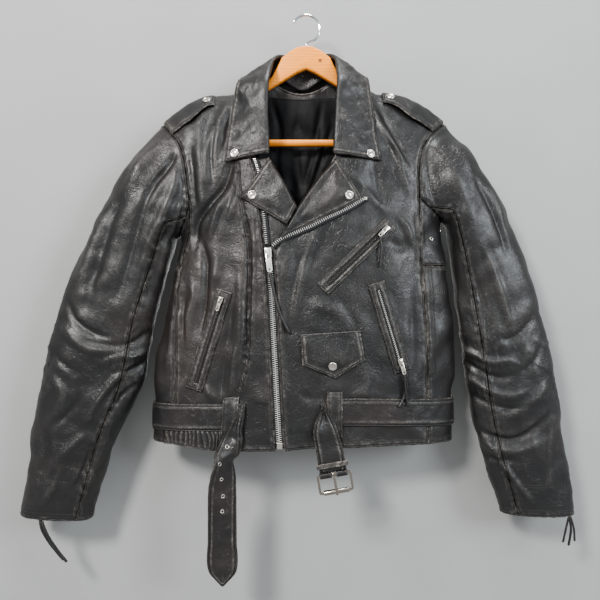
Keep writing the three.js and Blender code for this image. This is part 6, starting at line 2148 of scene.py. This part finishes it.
# ---------- free thongs ----------
# Each thong: its body, its radius, and its way as x, y, z, or with no y a lift above the front.
THONGS = {
    "thong_main": ("main_tab", 2.4, [
        (-56.7, -64.6, -427.4), (-50, None, -458, 5), (-42, None, -488, 4.5), (-33, None, -508, 4.5),
        (-26.7, None, -520, 4)]),
    "thong_chest": ("chest_tab", 2.0, [
        (114.5, -61.4, -371.6), (116.5, None, -386, 7), (116, None, -403, 6), (115, None, -418, 5)]),
    "thong_lower_left": ("lower_left_tab", 2.0, [
        (153.2, -61, -587), (156, None, -603, 6.5), (151, None, -622, 6), (144, None, -636, 7)]),
    "thong_lower_left_end": ("lower_left_tab", 1.9, [
        (153.0, -63.5, -588), (153, None, -604, 8), (155, None, -620, 7.5), (157, None, -635, 7)]),
    "cuff_thong_right": (BODY, 2.6, [
        (-430, -24, -826), (-428, -22, -840), (-423, -15, -858), (-411, -9, -880), (-399, -5, -897)]),
    "cuff_thong_right_end": (BODY, 2.2, [
        (-426, -27, -827), (-421, -26, -842), (-415, -20, -860), (-404, -13, -882), (-393, -9, -899)]),
    "cuff_thong_left": (BODY, 1.8, [(429, -17.5, -823), (433, -13, -846), (431, -9, -872)]),
    "cuff_thong_left_inner": (BODY, 1.6, [(427, -18.5, -823), (424, -15, -843), (421, -11, -866)]),
    "cuff_thong_left_outer": (BODY, 1.6, [(431, -16.5, -823), (437, -15, -843), (440, -11, -864)]),
}
# The thongs that have a solid of their own.
THONG_NODES = ("thong_main", "thong_chest", "thong_lower_left", "cuff_thong_right", "cuff_thong_left")


def make_thongs():
    """Every free thong, as a cord along its route."""
    for name, (body, radius, rows) in THONGS.items():
        path = route([place_on(x, y, z, lift[0] if lift else 0.0) for x, y, z, *lift in rows])
        path = path(np.linspace(0, 1, 60))
        length = float(reach_along(path)[-1]) * MM
        piece = thong_mesh(name + "_leather", path, radius)
        finish_piece(piece, body, [name] if name in THONG_NODES else [])


def thong_mesh(name, path, radius):
    """A thong cut from leather: nearly round, with soft corners and a cut end."""
    sides = 16
    down = unit(np.gradient(path, axis=0))
    side = unit(np.cross(down, np.array([0.0, -1.0, 0.0])))
    out = unit(np.cross(side, down))
    angles = np.arange(sides) * TURN / sides
    swell = 1 - 0.05 * np.cos(np.linspace(0, 17, len(path)))
    across = side[:, None] * (squared(np.cos(angles), 0.8) * radius)[None, :, None] * swell[:, None, None]
    through = out[:, None] * (squared(np.sin(angles), 0.8) * radius * 0.94)[None, :, None]
    rings = path[:, None] + across + through
    first = path[0] + (rings[0] - path[0]) * 0.6 - down[0] * 0.3
    last = path[-1] + (rings[-1] - path[-1]) * 0.6 + down[-1] * 0.3
    rings = np.concatenate([first[None], rings, last[None]])
    verts = rings.reshape(-1, 3)
    faces = tube_faces(len(rings), sides)
    wear = 0.35 * np.abs(np.cos(2 * np.arctan2(np.sin(angles), np.cos(angles)))) ** 4
    piece = new_object(name, verts, faces, "leather_plain",
                       {"wear": np.tile(wear, len(rings)), "seam": np.full(len(verts), FAR)})
    outward(piece)
    return piece


# ---------- stage ----------
WALL_Y = 62.0
STAGE_MIDDLE = (0, 0, -0.45)  # m, where the lights point


def make_stage():
    """Camera, lights, wall and surroundings."""
    stage = bpy.context.scene.jacket_stage
    scene = bpy.context.scene
    camera = bpy.data.cameras.new("front_camera")
    camera.lens = stage.lens
    camera.sensor_width = 36
    eye = bpy.data.objects.new("front_camera", camera)
    eye.location = (EYE_X * MM, -EYE * MM, EYE_Z * MM)
    eye.rotation_euler = (math.pi / 2, 0, 0)
    scene.collection.objects.link(eye)
    scene.camera = eye

    def lamp(name, place, size, power, colour):
        light = bpy.data.lights.new(name, "AREA")
        light.shape = "DISK"
        light.size = size
        light.energy = power
        light.color = colour
        body = bpy.data.objects.new(name, light)
        body.location = place
        body.rotation_euler = (Vector(STAGE_MIDDLE) - body.location).to_track_quat("-Z", "Y").to_euler()
        scene.collection.objects.link(body)
        return body

    lamps = [
        lamp("key_light", (-1.15, -2.1, 0.85), 0.55, stage.key, (1.0, 0.985, 0.96)),
        lamp("fill_light", (1.9, -1.9, 0.3), 1.0, stage.fill, (0.90, 0.965, 1.0)),
        lamp("top_light", (0.1, -0.45, 1.2), 0.5, 0.4 * stage.fill, (0.95, 0.98, 1.0)),
        lamp("back_light", (0.35, 2.0, -0.4), 0.9, stage.back, (0.96, 0.98, 1.0)),
        lamp("back_fill_light", (-0.6, 2.0, -0.7), 1.2, 0.6 * stage.back, (1.0, 0.98, 0.95)),
    ]
    bpy.ops.mesh.primitive_plane_add(size=9, location=(0, WALL_Y * MM, STAGE_MIDDLE[2]),
                                     rotation=(math.pi / 2, 0, 0))
    wall = bpy.context.active_object
    wall.name = "wall"
    material = bpy.data.materials.new("painted_wall")
    material.use_nodes = True
    graph = Graph(material.node_tree)
    place = graph.place()
    paint = graph.noise(place, 6.0, 4.0)
    colour = graph.blend(graph.ramp(paint, 0.3, 0.7), tint("wall"), tuple(0.96 * c for c in tint("wall")))
    shader = graph.add("ShaderNodeBsdfPrincipled", {"Base Color": colour, "Roughness": 0.9})
    clear = graph.add("ShaderNodeBsdfTransparent")
    behind = graph.math("MAXIMUM", graph.add("ShaderNodeNewGeometry").outputs["Backfacing"],
                        graph.add("ShaderNodeLightPath").outputs["Is Shadow Ray"])
    both = graph.add("ShaderNodeMixShader", {0: behind, 1: shader.outputs[0], 2: clear.outputs[0]})
    graph.add("ShaderNodeOutputMaterial", {"Surface": both.outputs[0]})
    wall.data.materials.append(material)
    world = bpy.data.worlds.new("room")
    world.use_nodes = True
    sky = world.node_tree.nodes["Background"].inputs
    sky["Color"].default_value = (0.95, 0.97, 1.0, 1)
    sky["Strength"].default_value = stage.sky
    scene.world = world
    scene.view_settings.view_transform = "AgX"
    scene.view_settings.look = "AgX - Medium High Contrast"
    scene.view_settings.exposure = 0.3


# ---------- operators and panel ----------
def build(*makers):
    """Runs the makers of a step, and stops if they add nothing."""
    before = len(bpy.data.objects)
    for make in makers:
        make()
    if len(bpy.data.objects) == before:
        raise RuntimeError("the step built nothing")
    return {"FINISHED"}


class JACKET_OT_stage(bpy.types.Operator):
    """Makes the materials and places the camera, the lights and the wall"""

    bl_idname = "jacket.stage"
    bl_label = "Camera and Stage"

    def execute(self, context):
        return build(make_materials, make_stage)


class JACKET_OT_thongs(bpy.types.Operator):
    """Builds the thongs at the zip tabs and the cuffs"""

    bl_idname = "jacket.thongs"
    bl_label = "Free Thongs"

    def execute(self, context):
        return build(make_thongs)


class JACKET_OT_back(bpy.types.Operator):
    """Builds the back and the lining seen in the neck opening"""

    bl_idname = "jacket.back"
    bl_label = "Back and Lining"

    def execute(self, context):
        return build(make_back)


class JACKET_OT_sides(bpy.types.Operator):
    """Builds the side panels and the underarm gussets, with their stitches and the gusset eyelets"""

    bl_idname = "jacket.sides"
    bl_label = "Sides and Gussets"

    def execute(self, context):
        return build(make_sides)


class JACKET_OT_fronts(bpy.types.Operator):
    """Builds both fronts, the zip underlap and the elastic of the hem"""

    bl_idname = "jacket.fronts"
    bl_label = "Fronts"

    def execute(self, context):
        return build(make_fronts)


class JACKET_OT_sleeves(bpy.types.Operator):
    """Builds the sleeves and their cuffs"""

    bl_idname = "jacket.sleeves"
    bl_label = "Sleeves"

    def execute(self, context):
        return build(make_sleeves)


class JACKET_OT_collar(bpy.types.Operator):
    """Builds the folded collar"""

    bl_idname = "jacket.collar"
    bl_label = "Collar"

    def execute(self, context):
        return build(make_collar)


class JACKET_OT_lapels(bpy.types.Operator):
    """Builds the lapels"""

    bl_idname = "jacket.lapels"
    bl_label = "Lapels"

    def execute(self, context):
        return build(make_lapels)


class JACKET_OT_pockets(bpy.types.Operator):
    """Builds the three zip pockets and the flap pocket"""

    bl_idname = "jacket.pockets"
    bl_label = "Pockets"

    def execute(self, context):
        return build(make_pockets)


class JACKET_OT_main_zip(bpy.types.Operator):
    """Builds the closed chain and the two open rows of the main zip"""

    bl_idname = "jacket.main_zip"
    bl_label = "Main Zip"

    def execute(self, context):
        return build(make_main_zip)


class JACKET_OT_epaulettes(bpy.types.Operator):
    """Builds the shoulder straps"""

    bl_idname = "jacket.epaulettes"
    bl_label = "Epaulettes"

    def execute(self, context):
        return build(make_epaulettes)


class JACKET_OT_belt(bpy.types.Operator):
    """Builds the belt, its loops, its punched tail and its buckle end"""

    bl_idname = "jacket.belt"
    bl_label = "Belt"

    def execute(self, context):
        return build(make_belt)


class JACKET_OT_snaps(bpy.types.Operator):
    """Presses the snap caps"""

    bl_idname = "jacket.snaps"
    bl_label = "Snaps"

    def execute(self, context):
        return build(make_snaps)


class JACKET_OT_pulls(bpy.types.Operator):
    """Rounds the sliders and the tabs of the zips"""

    bl_idname = "jacket.pulls"
    bl_label = "Zip Pulls"

    def execute(self, context):
        return build(make_pulls)


class JACKET_OT_buckle(bpy.types.Operator):
    """Rounds the frame, the roller and the tongue of the buckle"""

    bl_idname = "jacket.buckle"
    bl_label = "Buckle"

    def execute(self, context):
        return build(make_buckle)


class JACKET_OT_hanger(bpy.types.Operator):
    """Builds the wooden hanger and its hook"""

    bl_idname = "jacket.hanger"
    bl_label = "Hanger"

    def execute(self, context):
        return build(make_hanger)


STEP_CLASSES = [
    JACKET_OT_stage, JACKET_OT_thongs, JACKET_OT_back, JACKET_OT_sides,
    JACKET_OT_fronts, JACKET_OT_sleeves, JACKET_OT_collar, JACKET_OT_lapels,
    JACKET_OT_pockets, JACKET_OT_main_zip, JACKET_OT_epaulettes, JACKET_OT_belt,
    JACKET_OT_snaps, JACKET_OT_pulls, JACKET_OT_buckle, JACKET_OT_hanger,
]


class JACKET_PT_sidebar(bpy.types.Panel):
    """Lists the steps, sizes, colours and lights of the jacket"""

    bl_label = "Leather Biker Jacket"
    bl_space_type = "VIEW_3D"
    bl_region_type = "UI"
    bl_category = "Jacket"

    def draw(self, context):
        for step in STEP_CLASSES:
            self.layout.operator(step.bl_idname)
        for key in SETTINGS:
            settings = getattr(context.scene, key)
            box = self.layout.box()
            for entry in settings.bl_rna.properties.keys():
                if entry not in ("rna_type", "name"):
                    box.prop(settings, entry)


SETTINGS = {"jacket_sizes": JacketSizes, "jacket_colours": JacketColours, "jacket_stage": JacketStage}
CLASSES = [*SETTINGS.values(), *STEP_CLASSES, JACKET_PT_sidebar]


def register():
    """Adds the operators, the panel and the settings."""
    for kind in CLASSES:
        bpy.utils.register_class(kind)
    for key, kind in SETTINGS.items():
        setattr(bpy.types.Scene, key, PointerProperty(type=kind))


def unregister():
    """Takes them out again."""
    for key in SETTINGS:
        delattr(bpy.types.Scene, key)
    for kind in reversed(CLASSES):
        bpy.utils.unregister_class(kind)


def main():
    """Runs every step in order."""
    register()
    for step in STEP_CLASSES:
        if getattr(bpy.ops.jacket, step.bl_idname.split(".")[1])() != {"FINISHED"}:
            raise RuntimeError(step.bl_label)


if __name__ == "__main__":
    main()
